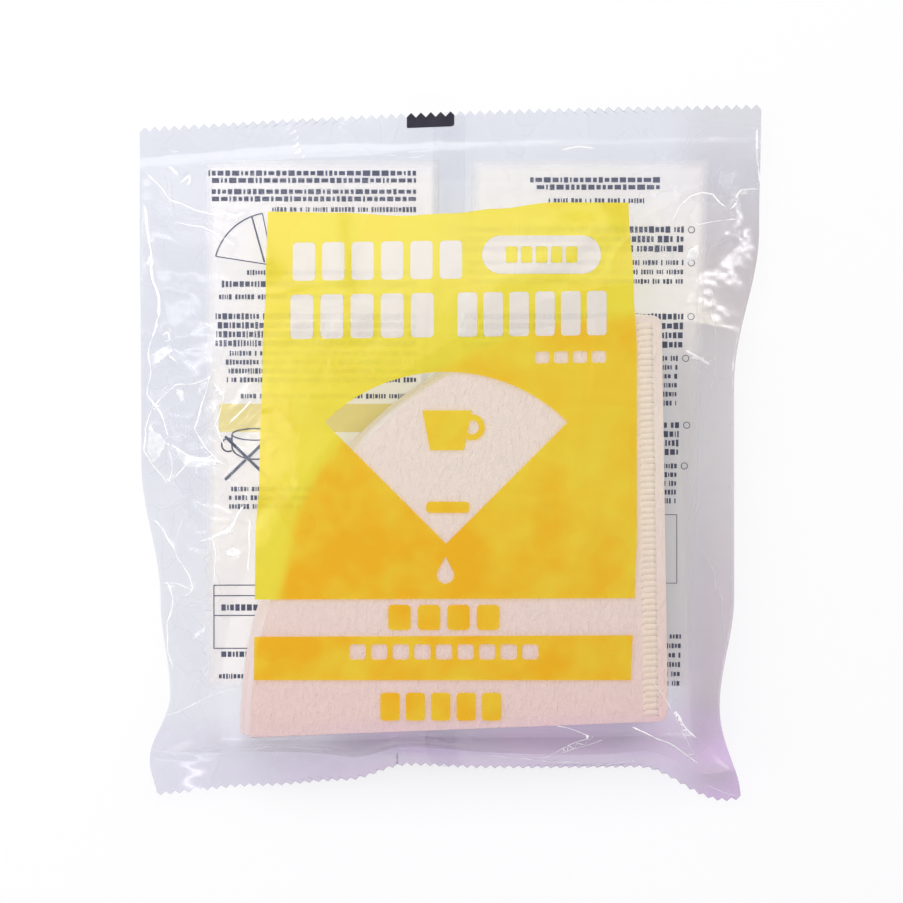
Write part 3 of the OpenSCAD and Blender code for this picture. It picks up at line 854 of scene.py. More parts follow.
paper_crepe = make_crepe_group()


# %% Shader helpers
def principled(nodes, color, roughness, alpha=1.0, specular=0.5):
    shader = nodes.new("ShaderNodeBsdfPrincipled")
    shader.inputs["Base Color"].default_value = (*color, 1)
    shader.inputs["Roughness"].default_value = roughness
    shader.inputs["Alpha"].default_value = alpha
    shader.inputs["Specular IOR Level"].default_value = specular
    return shader


def add_bump(nodes, links, shader, group, distance, strength=1.0, **sizes):
    """Adds a group's height to a shader as bump, and returns the group's node for its other outputs."""
    coordinates = nodes.new("ShaderNodeTexCoord")
    pattern = nodes.new("ShaderNodeGroup")
    pattern.node_tree = group
    for name, value in sizes.items():
        pattern.inputs[name.replace("_", " ")].default_value = value
    links.new(coordinates.outputs["Object"], pattern.inputs["Vector"])
    bump = nodes.new("ShaderNodeBump")
    bump.inputs["Distance"].default_value = distance
    bump.inputs["Strength"].default_value = strength
    links.new(pattern.outputs["Height"], bump.inputs["Height"])
    links.new(bump.outputs["Normal"], shader.inputs["Normal"])
    return pattern


def let_light_through(nodes, links, surface, color, out):
    """Puts a Transparent shader in for the rays that look for a lamp, so that what lies below stays lit."""
    path = nodes.new("ShaderNodeLightPath")
    passing = nodes.new("ShaderNodeBsdfTransparent")
    passing.inputs["Color"].default_value = (*color, 1)
    chosen = nodes.new("ShaderNodeMixShader")
    links.new(path.outputs["Is Shadow Ray"], chosen.inputs[0])
    links.new(surface, chosen.inputs[1])
    links.new(passing.outputs[0], chosen.inputs[2])
    links.new(chosen.outputs[0], out.inputs["Surface"])


def stored(nodes, name):
    node = nodes.new("ShaderNodeAttribute")
    node.attribute_name = name
    return node.outputs["Fac"]


def tint_by(nodes, links, share, first, second):
    """Mixes two colours, each given as numbers or as another node's output."""
    node = nodes.new("ShaderNodeMix")
    node.data_type = "RGBA"
    for socket, color in (("A", first), ("B", second)):
        if isinstance(color, tuple):
            node.inputs[socket].default_value = (*color, 1)
        else:
            links.new(color, node.inputs[socket])
    links.new(share, node.inputs["Factor"])
    return node.outputs["Result"]


# %% [markdown]
# One shader does for the whole bag. A glass shader would bend the light as a thick pane does and needs many
# bounces, so the film is a Principled surface that is mostly see-through: what it hides and what colour it
# adds come from the numbers on its points.

# %% Film material
FILM_PASSES = (0.95, 0.95, 0.96)
# The first colour is the film's own tint. The mauve and the violet are painted shade and reflection, and the
# white is the colour of painted highlights.
COOL, MAUVE_SHADE, VIOLET_SHADE, HIGHLIGHT_WHITE = (0.45, 0.485, 0.6), (0.43, 0.375, 0.395), (0.62, 0.41, 0.7), (0.95, 0.95, 0.92)
# Width over which a painted highlight line fades, depth over which a highlight facet does, and how ragged the
# facet's edge is
HIGHLIGHT_LINE_SOFT, HIGHLIGHT_FACET_SOFT, RAGGED = 0.12, 0.45, 1.4
# What the painted highlights, a facet's tone and a grazing angle add to the film's Alpha, and the most that
# it can be
HIGHLIGHT_ADDS, TONE_ADDS, GRAZING_ADDS, MOST_ALPHA = 0.68, 0.24, 0.2, 0.92
# Depth in metres of the crinkle on film and ink, and the share of it that the bump takes
CRINKLE_DEPTH, CRINKLE_SHARE = 0.0004, 0.5


def film_material():
    """Clear film. Its haze, its painted shade, its painted mauve and violet, and the highlights painted white
    along folds and facets come from the numbers stored on its points.
    """
    material, nodes, links = new_material("clear_film")
    tree = material.node_tree
    out = nodes.new("ShaderNodeOutputMaterial")
    shader = principled(nodes, COOL, 0.14, 0.2, 1.0)
    crinkle = add_bump(nodes, links, shader, film_crinkle, CRINKLE_DEPTH, CRINKLE_SHARE)
    coordinates = nodes.new("ShaderNodeTexCoord")
    uneven = noise_node(tree, coordinates.outputs["Object"], 330, 2)
    speckle = noise_node(tree, coordinates.outputs["Object"], 1300, 2)
    # The white lines along folds, the white facets and the white web of creases below are painted highlights.
    wide = math_node(tree, "MULTIPLY", stored(nodes, "fold_highlight_width"), math_node(tree, "MULTIPLY", uneven, 2.0))
    off_line = math_node(tree, "ABSOLUTE", stored(nodes, "fold_side"), 0)
    highlight_line = ramp_up(tree, math_node(tree, "SUBTRACT", wide, off_line), 0, HIGHLIGHT_LINE_SOFT)
    ragged = math_node(tree, "MULTIPLY", math_node(tree, "SUBTRACT", speckle, 0.5), RAGGED)
    facet_painted_light = ramp_up(tree, math_node(tree, "ADD", stored(nodes, "facet_painted_light"), ragged), 0, HIGHLIGHT_FACET_SOFT)
    facet_share = math_node(tree, "ADD", 0.35, math_node(tree, "MULTIPLY", uneven, 0.8))
    facet_painted_light = math_node(tree, "MULTIPLY", facet_painted_light, facet_share)
    # Painted highlight on the crinkle's crease lines, where the film is slack.
    crease_highlight = math_node(tree, "MULTIPLY", crinkle.outputs["Crease"], stored(nodes, "slack"))
    crease_highlight = math_node(tree, "MULTIPLY", crease_highlight, math_node(tree, "MULTIPLY", uneven, 0.8))
    painted_highlight = math_node(tree, "MAXIMUM", math_node(tree, "MAXIMUM", highlight_line, facet_painted_light), crease_highlight)
    facing = nodes.new("ShaderNodeLayerWeight")
    facing.inputs["Blend"].default_value = 0.3
    grazing = math_node(tree, "MULTIPLY", facing.outputs["Facing"], GRAZING_ADDS)
    tone = math_node(tree, "MULTIPLY", math_node(tree, "SUBTRACT", crinkle.outputs["Tone"], 0.5), TONE_ADDS)
    tone = math_node(tree, "MULTIPLY", tone, stored(nodes, "slack"))
    total = math_node(tree, "ADD", math_node(tree, "ADD", stored(nodes, "haze_and_shade"), tone), grazing)
    total = math_node(tree, "ADD", total, math_node(tree, "MULTIPLY", painted_highlight, HIGHLIGHT_ADDS))
    links.new(math_node(tree, "MINIMUM", total, MOST_ALPHA), shader.inputs["Alpha"])
    tint = tint_by(nodes, links, stored(nodes, "mauve_shade"), COOL, MAUVE_SHADE)
    tint = tint_by(nodes, links, stored(nodes, "violet_shade"), tint, VIOLET_SHADE)
    links.new(tint_by(nodes, links, painted_highlight, tint, HIGHLIGHT_WHITE), shader.inputs["Base Color"])
    let_light_through(nodes, links, shader.outputs[0], FILM_PASSES, out)
    return material


clear_film = film_material()

# %% Build the film
all_points = np.concatenate([film_points, fin_points])
all_faces = film_faces.tolist() + (fin_faces + len(film_points)).tolist()
film = make_piece("film_skin", all_points, all_faces, clear_film)


def for_sheets(front, back, fin):
    """One number for each point: those of the front sheet, of the back sheet and of the fin."""
    parts = [np.broadcast_to(v, grid_x.shape).ravel() for v in (front, back)]
    return np.concatenate(parts + [np.full(len(fin_points), float(fin))])


set_values(film, "haze_and_shade", for_sheets(haze_and_shade_top, haze_and_shade_bottom, 0.05))
set_values(film, "fold_side", for_sheets(fold_side, NO_FOLD, NO_FOLD))
set_values(film, "fold_highlight_width", for_sheets(fold_highlight_width, 0.0, 0.0))
set_values(film, "facet_painted_light", for_sheets(highlight_facet_depth(grid_x, grid_y), NO_HIGHLIGHT_FACET, NO_HIGHLIGHT_FACET))
slack = slackness(grid_x, grid_y) * grid_near * (1 - pressed)
set_values(film, "slack", for_sheets(0.2 * (1 - pressed) + 0.7 * slack, 0.4 * slack, 0.0))
set_values(film, "mauve_shade", right_side(all_points[:, 0], all_points[:, 1]))
set_values(film, "violet_shade", violet_shade_share(all_points[:, 0], all_points[:, 1]))
finish_piece(film, "clear_film", "film_bag")


# %% [markdown]
# ## Ink that follows the film
#
# Ink has the film's exact shape, so its skin is cut from the film's own triangles and lifted a few
# hundredths of a millimetre. The drawing is a signed distance: a number at every point that is negative
# inside the ink and positive outside. A triangle that the zero line crosses is cut along it, which gives
# clean edges without any picture. The triangles near the edge are halved first, so that round shapes come
# out round. The words of the real pack are left out, and plain tiles and bars hold their places.

# %% Cut triangles along a signed distance
def sheet_triangles(x, y, z):
    points = stacked(x, y, z).reshape(-1, 3)
    quads = grid_faces(*x.shape)
    return points, np.concatenate([quads[:, [0, 1, 2]], quads[:, [0, 2, 3]]])


# A triangle whose corners all lie further than this outside a drawing is dropped
FAR_OUT = 2


def split_near(points, triangles, shape, reach):
    """Halves the sides of the triangles near a drawing's edge, and leaves no gap to their neighbours."""
    distance = shape(points[:, 0], points[:, 1])
    triangles = triangles[distance[triangles].min(1) < FAR_OUT]
    near = np.abs(distance[triangles]).min(1) < reach
    sides = np.sort(triangles[near][:, [[0, 1], [1, 2], [2, 0]]].reshape(-1, 2), axis=1)
    sides = np.unique(sides, axis=0)
    middle = {(a, b): len(points) + i for i, (a, b) in enumerate(sides.tolist())}
    made = []
    for a, b, c in triangles.tolist():
        corners = [a, b, c]
        cuts = [middle.get((min(p, q), max(p, q))) for p, q in ((a, b), (b, c), (c, a))]
        found = 3 - cuts.count(None)
        if found == 0:
            made.append(corners)
        elif found == 3:
            made += [[a, cuts[0], cuts[2]], [cuts[0], b, cuts[1]], [cuts[2], cuts[1], c], cuts]
        else:
            while cuts[0] is None or cuts[2] is not None:
                corners, cuts = corners[1:] + corners[:1], cuts[1:] + cuts[:1]
            first, second, third = corners
            rest = [cuts[0], second, third] if cuts[1] is None else [cuts[0], second, cuts[1]]
            made += [[first, cuts[0], third], rest]
            if cuts[1] is not None:
                made.append([cuts[0], cuts[1], third])
    return np.concatenate([points, points[sides].mean(1)]), np.array(made)


def cut_sheet(points, triangles, shape, reaches=(0.9, 0.4)):
    """The part of a sheet inside a drawing, as points and faces, with finer triangles along its edge."""
    for reach in reaches:
        points, triangles = split_near(points, triangles, shape, reach)
    distance = shape(points[:, 0], points[:, 1])
    distance = np.where(np.abs(distance) < 1e-4, 1e-4, distance)
    inside = distance < 0
    out_points, made, faces = list(points), {}, []

    def between(a, b):
        key = (min(a, b), max(a, b))
        if key not in made:
            t = distance[a] / (distance[a] - distance[b])
            made[key] = len(out_points)
            out_points.append(mix(points[a], points[b], t))
        return made[key]

    for tri in triangles[inside[triangles].any(1)].tolist():
        face = []
        for a, b in zip(tri, tri[1:] + tri[:1]):
            if inside[a]:
                face.append(a)
            if inside[a] != inside[b]:
                face.append(between(a, b))
        faces.append(face)
    used = sorted({v for f in faces for v in f})
    place = {v: i for i, v in enumerate(used)}
    return np.array([out_points[v] for v in used]), [[place[v] for v in f] for f in faces]


# Heights of the lower and the upper face of ink above its sheet
INK_LOW, INK_HIGH = 0.03, 0.06


def thin_skin(points, faces, low=INK_LOW, high=INK_HIGH):
    """Closed skin of ink, from low to high above the cut sheet."""
    n = len(points)
    lift = np.array([0, 0, 1.0])
    edges = {(a, b): True for f in faces for a, b in zip(f, f[1:] + f[:1])}
    rim = [(a, b) for a, b in edges if (b, a) not in edges]
    both = np.concatenate([points + high * lift, points + low * lift])
    walls = [[b, a, a + n, b + n] for a, b in rim]
    return both, faces + [[v + n for v in reversed(f)] for f in faces] + walls


# %% [markdown]
# The whole print is made of a few shapes: boxes, rows of tiles, a fan, a drop and a cup. The smaller of two
# distances joins two shapes, and the larger one keeps what they share.

# %% Signed distances of simple shapes
def box_distance(x, y, cx, cy, w, h, r=0.0):
    dx, dy = np.abs(x - cx) - w / 2 + r, np.abs(y - cy) - h / 2 + r
    return np.hypot(np.maximum(dx, 0), np.maximum(dy, 0)) + np.minimum(np.maximum(dx, dy), 0) - r


# Width and corner radius of a tile, as shares of the distance from tile to tile
TILE_W, TILE_R = 0.76, 0.14


def tile_distance(x, y, row, tilt=0.0):
    """Row of round-cornered tiles in the place of a word: left, right, middle, tile height, count."""
    left, right, cy, h, count = row
    pitch = (right - left) / count
    y = y - tilt * x
    inside = clamp(np.floor((x - left) / pitch), 0, count - 1)
    return box_distance(x, y, left + (inside + 0.5) * pitch, cy, TILE_W * pitch, h, TILE_R * pitch)


def fan_distance(x, y, cx, cy, r):
    px, py = np.abs(x - cx), y - cy
    return np.maximum((px - py) / math.sqrt(2), np.hypot(px, py) - r)


def drop_distance(x, y, cx, cy, r, h):
    px, py = np.abs(x - cx), y - cy
    lean = math.asin(r / h)
    side = px * math.cos(lean) + (py - h) * math.sin(lean)
    tip = np.maximum(np.maximum(side, py - h), r * math.sin(lean) - py)
    return np.minimum(np.hypot(px, py) - r, tip)


def cup_distance(x, y, cx, cy, w):
    px, py = np.abs(x - cx), y - cy
    body = np.maximum(np.abs(py) - 0.4 * w, px - 0.42 * w - 0.2 * py)
    ring = np.abs(np.hypot(x - cx - 0.5 * w, py - 0.06 * w) - 0.2 * w) - 0.06 * w
    return np.minimum(body, np.maximum(ring, cx + 0.4 * w - x))


# %% The front print
# Sides of the yellow field, as pairs of a place along each side and its position
FIELD_LEFT = [(-69, -59.4), (-27, -59.0), (-8, -57.8), (30, -56.9), (50, -56.0), (74, -55.5)]
FIELD_RIGHT = [(-69, 54.2), (-42, 55.4), (-25, 56.0), (30, 56.0), (49, 55.1), (74, 53.7)]
FIELD_TOP = [(-56, 72.6), (-33, 72.2), (-15, 71.3), (0, 72.0), (14, 73.4), (31, 75.3), (54, 75.2)]
FIELD_LOW = -68.9
# Rows of tiles in the place of the headline, how much they rise to the right, and the gap round white ink
HEADLINE = [(-48.9, 4.4, 57.9, 11.6, 6), (-49.6, -4.1, 41.2, 13.4, 5), (1.0, 47.8, 41.2, 13.4, 6),
            (24.6, 47.4, 28.0, 3.6, 4)]
HEADLINE_TILT, WHITE_GAP = 0.012, 0.03
# Middle height and width of the open band, and its rise to the right
BAND, BAND_TILT = (-50.0, 11.2), 0.004


def pill_distance(x, y):
    pill = box_distance(x, y, 27.3, 59.4, 35.8, 11.6, 5.7)
    return np.maximum(pill, -tile_distance(x, y, (16.0, 38.6, 59.4, 5.0, 5)))


def white_distance(x, y):
    """Negative where white ink fills the headline's tiles and the pill."""
    rows = [tile_distance(x, y, row, HEADLINE_TILT) for row in HEADLINE[:3]]
    return np.minimum.reduce(rows + [pill_distance(x, y)]) + WHITE_GAP


def front_distance(x, y):
    """Negative where the yellow ink is."""
    field = np.maximum(np.maximum(along(FIELD_LEFT, y) - x, x - along(FIELD_RIGHT, y)),
                       np.maximum(FIELD_LOW - y, y - along(FIELD_TOP, x)))
    openings = [tile_distance(x, y, row, HEADLINE_TILT) for row in HEADLINE]
    openings.append(pill_distance(x, y))
    window = fan_distance(x, y, -1.5, -27.8, 51.8)
    marks = [cup_distance(x, y, -1.2, 6.4, 15.0), box_distance(x, y, -1.0, -16.8, 13.0, 3.4, 1.2)]
    openings.append(np.maximum(window, -np.minimum(*marks)))
    openings.append(drop_distance(x, y, -1.7, -37.2, 2.6, 5.6))
    band = np.abs(y - BAND[0] - BAND_TILT * x) - BAND[1] / 2
    openings.append(np.maximum(band, -tile_distance(x, y, (-20.0, 15.6, BAND[0], 7.6, 4))))
    openings.append(tile_distance(x, y, (-31.4, 27.1, -60.4, 4.6, 9)))
    ink = field
    for opening in openings:
        ink = np.maximum(ink, -opening)
    foot = tile_distance(x, y, (-22.2, 16.0, -76.9, 8.4, 5))
    return np.minimum(ink, foot)


# %% [markdown]
# The yellow ink is translucent: over the white table it looks lemon, and over the paper golden. A
# Transparent shader with a yellow colour works as a filter on what lies behind, and it is mixed with a
# Principled shader for the pigment itself. A number on the ink's points says where it touches the paper,
# and the pigment turns golden there, in soft clouds, because film never lies equally close everywhere.
# Light passes the skin's two faces, so each of them carries half of the effect. The headline's tiles and
# the pill are white ink, and the other openings are clear film.

# %% Ink materials
LEMON, GOLDEN = (0.715, 0.635, 0.058), (0.74, 0.415, 0.006)
# How the golden share follows the clouds, and the painted shade that a facet adds to it
CLOUD_START, CLOUD_GAIN, FACET_SHADE_ADDS = -0.2, 1.9, 0.16
# Share of a lamp's light that ink lets through, and how much paler than the ink that light is
INK_PASSES, INK_PALER = 0.95, 0.7


def ink_material(name, pigment, filter_color, solid, roughness=0.3):
    """An ink of one colour, or of two that a stored number mixes, and that fades where "cover" says so."""
    material, nodes, links = new_material(name)
    tree = material.node_tree
    out = nodes.new("ShaderNodeOutputMaterial")
    shader = principled(nodes, pigment[0], roughness, 1.0, 0.5)
    crinkle = add_bump(nodes, links, shader, film_crinkle, CRINKLE_DEPTH, CRINKLE_SHARE)
    if len(pigment) > 1:
        coordinates = nodes.new("ShaderNodeTexCoord")
        clouds = noise_node(tree, coordinates.outputs["Object"], 60, 2, 0.6)
        share = math_node(tree, "ADD", CLOUD_START, math_node(tree, "MULTIPLY", clouds, CLOUD_GAIN))
        share = math_node(tree, "MULTIPLY", stored(nodes, "on_paper"), share)
        # Crinkle facets with a high tone turn the ink more golden: painted shade of the film's folds.
        facet_painted_light = math_node(tree, "MULTIPLY", ramp_up(tree, crinkle.outputs["Tone"], 0.5, 0.4), FACET_SHADE_ADDS)
        golden = math_node(tree, "ADD", share, facet_painted_light)
        links.new(tint_by(nodes, links, golden, *pigment), shader.inputs["Base Color"])
    clear = nodes.new("ShaderNodeBsdfTransparent")
    clear.inputs["Color"].default_value = (*filter_color, 1)
    mixed = nodes.new("ShaderNodeMixShader")
    links.new(math_node(tree, "MULTIPLY", stored(nodes, "cover"), solid), mixed.inputs[0])
    links.new(clear.outputs[0], mixed.inputs[1])
    links.new(shader.outputs[0], mixed.inputs[2])
    passes = [INK_PASSES * mix(c, 1.0, INK_PALER) for c in filter_color]
    let_light_through(nodes, links, mixed.outputs[0], passes, out)
    return material


yellow_ink = ink_material("yellow_ink", (LEMON, GOLDEN), (1.0, 0.92, 0.28), 0.62)
white_ink = ink_material("white_ink", [(0.69, 0.645, 0.59)], (1.0, 1.0, 1.0), 0.62)
faded_ink = ink_material("faded_yellow_ink", [(0.9, 0.8, 0.36)], (1.0, 0.97, 0.7), 0.36, 0.5)
pale_ink = ink_material("pale_ink", [(0.95, 0.915, 0.875)], (1.0, 1.0, 1.0), 0.44, 0.5)
slate_ink = ink_material("slate_ink", [(0.06, 0.07, 0.13)], (0.3, 0.3, 0.4), 0.55, 0.5)
dark_ink = ink_material("dark_ink", [(0.022, 0.018, 0.035)], (0.1, 0.1, 0.15), 0.85)


def ink_piece(name, points, faces, material, slot, *nodes, cover=1.0, **values):
    """A finished piece of ink, with the numbers that its material reads."""
    piece = make_piece(name, points, faces, material)
    set_values(piece, "cover", np.broadcast_to(cover, (len(points),)))
    for key, value in values.items():
        set_values(piece, key, value)
    finish_piece(piece, slot, *nodes)
    return piece


# %% [markdown]
# The ink is cut from the front sheet between its two seals. It also gets a number that says where it lies
# on the paper, from the filters' place below it.

# %% Cut the front print from the film's front sheet
body_rows = slice(SEAL_ROWS, SEAL_ROWS + BODY_ROWS + 1)
front_points, front_triangles = sheet_triangles(grid_x[body_rows], grid_y[body_rows], top_z[body_rows])


def fold_share(x, y):
    """Turn about the filters' point: 0 along the seam and 1 along the fold."""
    turn = np.mod(np.arctan2(y - POINT[1], x - POINT[0]), 2 * math.pi)
    return clamp((turn - SEAM_DIR) / (FOLD_DIR - SEAM_DIR))


# How far from the filters' point the golden part ends, at some shares of the turn from the seam to the fold
GOLDEN_SHARES = [0.05, 0.26, 0.4, 0.53, 0.64, 0.79, 0.86, 1.0]
GOLDEN_REACHES = [123.2, 125.2, 127.5, 129.6, 127.8, 123.0, 127.0, 129.0]


def lies_on_paper(x, y):
    """1 where the ink touches the paper and 0 past the filters' mouth. It is deepest low down."""
    edge = np.interp(fold_share(x, y), GOLDEN_SHARES, GOLDEN_REACHES)
    reach = np.hypot(x - POINT[0], y - POINT[1]) + 1.2 * lattice_noise(x / 12, y / 12, 91)
    depth = mix(1.0, 0.6, ease((y + 45) / 60 + (x - 5) / 90))
    depth = depth + 0.12 * lattice_noise(x / 20, y / 20, 92)
    return ease((edge + 2 - reach) / 4.5) * depth


yellow_points, yellow_faces = thin_skin(*cut_sheet(front_points, front_triangles, front_distance))
ink_piece("yellow_print", yellow_points, yellow_faces, yellow_ink, "yellow_ink", "front_print",
          on_paper=lies_on_paper(yellow_points[:, 0], yellow_points[:, 1]))
ink_piece("white_print", *thin_skin(*cut_sheet(front_points, front_triangles, white_distance)),
          white_ink, "pale_ink")


# %% [markdown]
# ## The registration mark
#
# A dark block is printed across the place where the film is cut, so the zigzag cut goes through it. The
# mark is cut from the sealed end of the film's grid, and its teeth are the film's own. A short dark tick
# stands at the other end, on the bottom seal.

# %% Cut the mark from the top seal, and the small tick from the bottom one
MARK_X, MARK_HALF, MARK_DEPTH = -6.2, 7.2, 4.6
TICK_X, TICK_Y, TICK_W, TICK_L = -16.3, -93.2, 0.4, 3.6


def mark_distance(x, y):
    return np.maximum(np.abs(x - MARK_X) - MARK_HALF, top_end(x) - MARK_DEPTH - y)


def tick_distance(x, y):
    return box_distance(x, y, TICK_X, TICK_Y, TICK_W, TICK_L)


def seal_skin(rows, shape):
    points, triangles = sheet_triangles(grid_x[rows], grid_y[rows], top_z[rows])
    return thin_skin(*cut_sheet(points, triangles, shape, (0.9,)))


mark_points, mark_faces = seal_skin(slice(SEAL_ROWS + BODY_ROWS, None), mark_distance)
tick_points, tick_faces = seal_skin(slice(0, SEAL_ROWS + 1), tick_distance)
tick_faces = [[v + len(mark_points) for v in f] for f in tick_faces]
ink_piece("registration_block", np.concatenate([mark_points, tick_points]), mark_faces + tick_faces,
          dark_ink, "dark_ink", "registration_mark")

# %% [markdown]
# ## The back print
#
# Two pale panels are printed on the back sheet, one on each side of the seam, and dark lines of small print
# on them. Each is a piece of its own, a little higher than the one below it. The panels fade at their
# edges, because pale ink that is seen through milky film has no sharp edge.

# %% Pale panels
back_points, back_triangles = sheet_triangles(grid_x[body_rows], grid_y[body_rows], bottom_z[body_rows])
# Middle height and length of the panels
PANEL_Y, PANEL_L = 8.5, 160.0
# How far the right panel leans to the left, for each millimetre down
LEAN = 0.035
# Heights of the panels' and the band's ink above the back sheet
PANEL_INK, BAND_INK = (0.05, 0.08), (0.1, 0.13)
# Width over which a panel's edge fades, and how much of the ink is left at the edge itself
PANEL_FADE, PANEL_EDGE = 3.5, 0.25


def panel_distance(x, y):
    left_panel = box_distance(x, y, -39.0, PANEL_Y, 71.0, PANEL_L)
    right_panel = box_distance(x - LEAN * (y - PANEL_Y), y, 39.5, PANEL_Y, 72.0, PANEL_L)
    return np.minimum(left_panel, right_panel)


def band_distance(x, y):
    return box_distance(x, y, -37.0, 10.2, 67.0, 8.6, 0.8)


panel_cut = cut_sheet(back_points, back_triangles, panel_distance, (0.9,))
panel_points, panel_faces = thin_skin(*panel_cut, *PANEL_INK)
panel_depth = -panel_distance(panel_points[:, 0], panel_points[:, 1])
ink_piece("back_panels", panel_points, panel_faces, pale_ink, "pale_ink", "back_print",
          cover=mix(PANEL_EDGE, 1, ease(panel_depth / PANEL_FADE)))
band_cut = cut_sheet(back_points, back_triangles, band_distance, (0.9,))
ink_piece("back_band", *thin_skin(*band_cut, *BAND_INK), faded_ink, "yellow_ink")


# %% [markdown]
# One Geometry Nodes tree sets every block of small print. The words are left out, and plain marks stand in
# for their letters. The tree makes one point for each mark and gives each a random width. It adds the
# widths up along the line, which is how a typesetter finds where the next letter starts. Now and then it
# leaves a wider gap, as between words. Marks that would run past the line's end are deleted. The lines
# start at the right, because the print is seen from behind. A heading is two close rows of wider marks.

# %% Geometry Nodes tree: lines of marks
def node_tree(name, sockets):
    tree = bpy.data.node_groups.new(name, "GeometryNodeTree")
    tree.interface.new_socket("Geometry", in_out="INPUT", socket_type="NodeSocketGeometry")
    for socket, kind in sockets:
        tree.interface.new_socket(socket, in_out="INPUT", socket_type=kind)
    tree.interface.new_socket("Geometry", in_out="OUTPUT", socket_type="NodeSocketGeometry")
    return tree, tree.nodes.new("NodeGroupInput"), tree.nodes.new("NodeGroupOutput")


def connect(tree, *pairs):
    for source, target in pairs:
        tree.links.new(source, target)


def finish_tree(tree, geometry, given, out):
    realize = tree.nodes.new("GeometryNodeRealizeInstances")
    paint = tree.nodes.new("GeometryNodeSetMaterial")
    connect(tree, (geometry, realize.inputs[0]), (realize.outputs[0], paint.inputs["Geometry"]),
            (given.outputs["Material"], paint.inputs["Material"]), (paint.outputs[0], out.inputs["Geometry"]))
    return tree


def run_tree(name, tree, inputs, points_mm=((0, 0, 0),), faces=()):
    """Runs a tree on a small mesh and returns the result as a mesh of its own."""
    mesh = bpy.data.meshes.new(name + "_start")
    mesh.from_pydata((np.asarray(points_mm, float) * MM).tolist(), [], [list(f) for f in faces])
    holder = bpy.data.objects.new(name + "_start", mesh)
    bpy.context.scene.collection.objects.link(holder)
    modifier = holder.modifiers.new("nodes", "NODES")
    modifier.node_group = tree
    ids = {item.name: item.identifier for item in tree.interface.items_tree if item.in_out == "INPUT"}
    for key, value in inputs.items():
        modifier[ids[key]] = value
    seen = holder.evaluated_get(bpy.context.evaluated_depsgraph_get())
    result = bpy.data.meshes.new_from_object(seen)
    result.name = name
    bpy.data.objects.remove(holder)
    return result


def random_between(tree, low, high, seed):
    node = tree.nodes.new("FunctionNodeRandomValue")
    node.data_type = "FLOAT"
    fill(node, 2, low)
    fill(node, 3, high)
    fill(node, "Seed", seed)
    return node.outputs[1]


def keep_number(tree, geometry, name, value):
    """Stores a number on the points, so that it stays the same when some of them are deleted."""
    node = tree.nodes.new("GeometryNodeStoreNamedAttribute")
    node.inputs["Name"].default_value = name
    connect(tree, (geometry, node.inputs["Geometry"]), (value, node.inputs["Value"]))
    kept = tree.nodes.new("GeometryNodeInputNamedAttribute")
    kept.inputs["Name"].default_value = name
    return node.outputs[0], kept.outputs["Attribute"]


# Mark heights vary between these shares, and a mark is as thick as this in metres
MARK_SHORT, MARK_TALL, MARK_THICK = 0.7, 1.0, 0.03 * MM


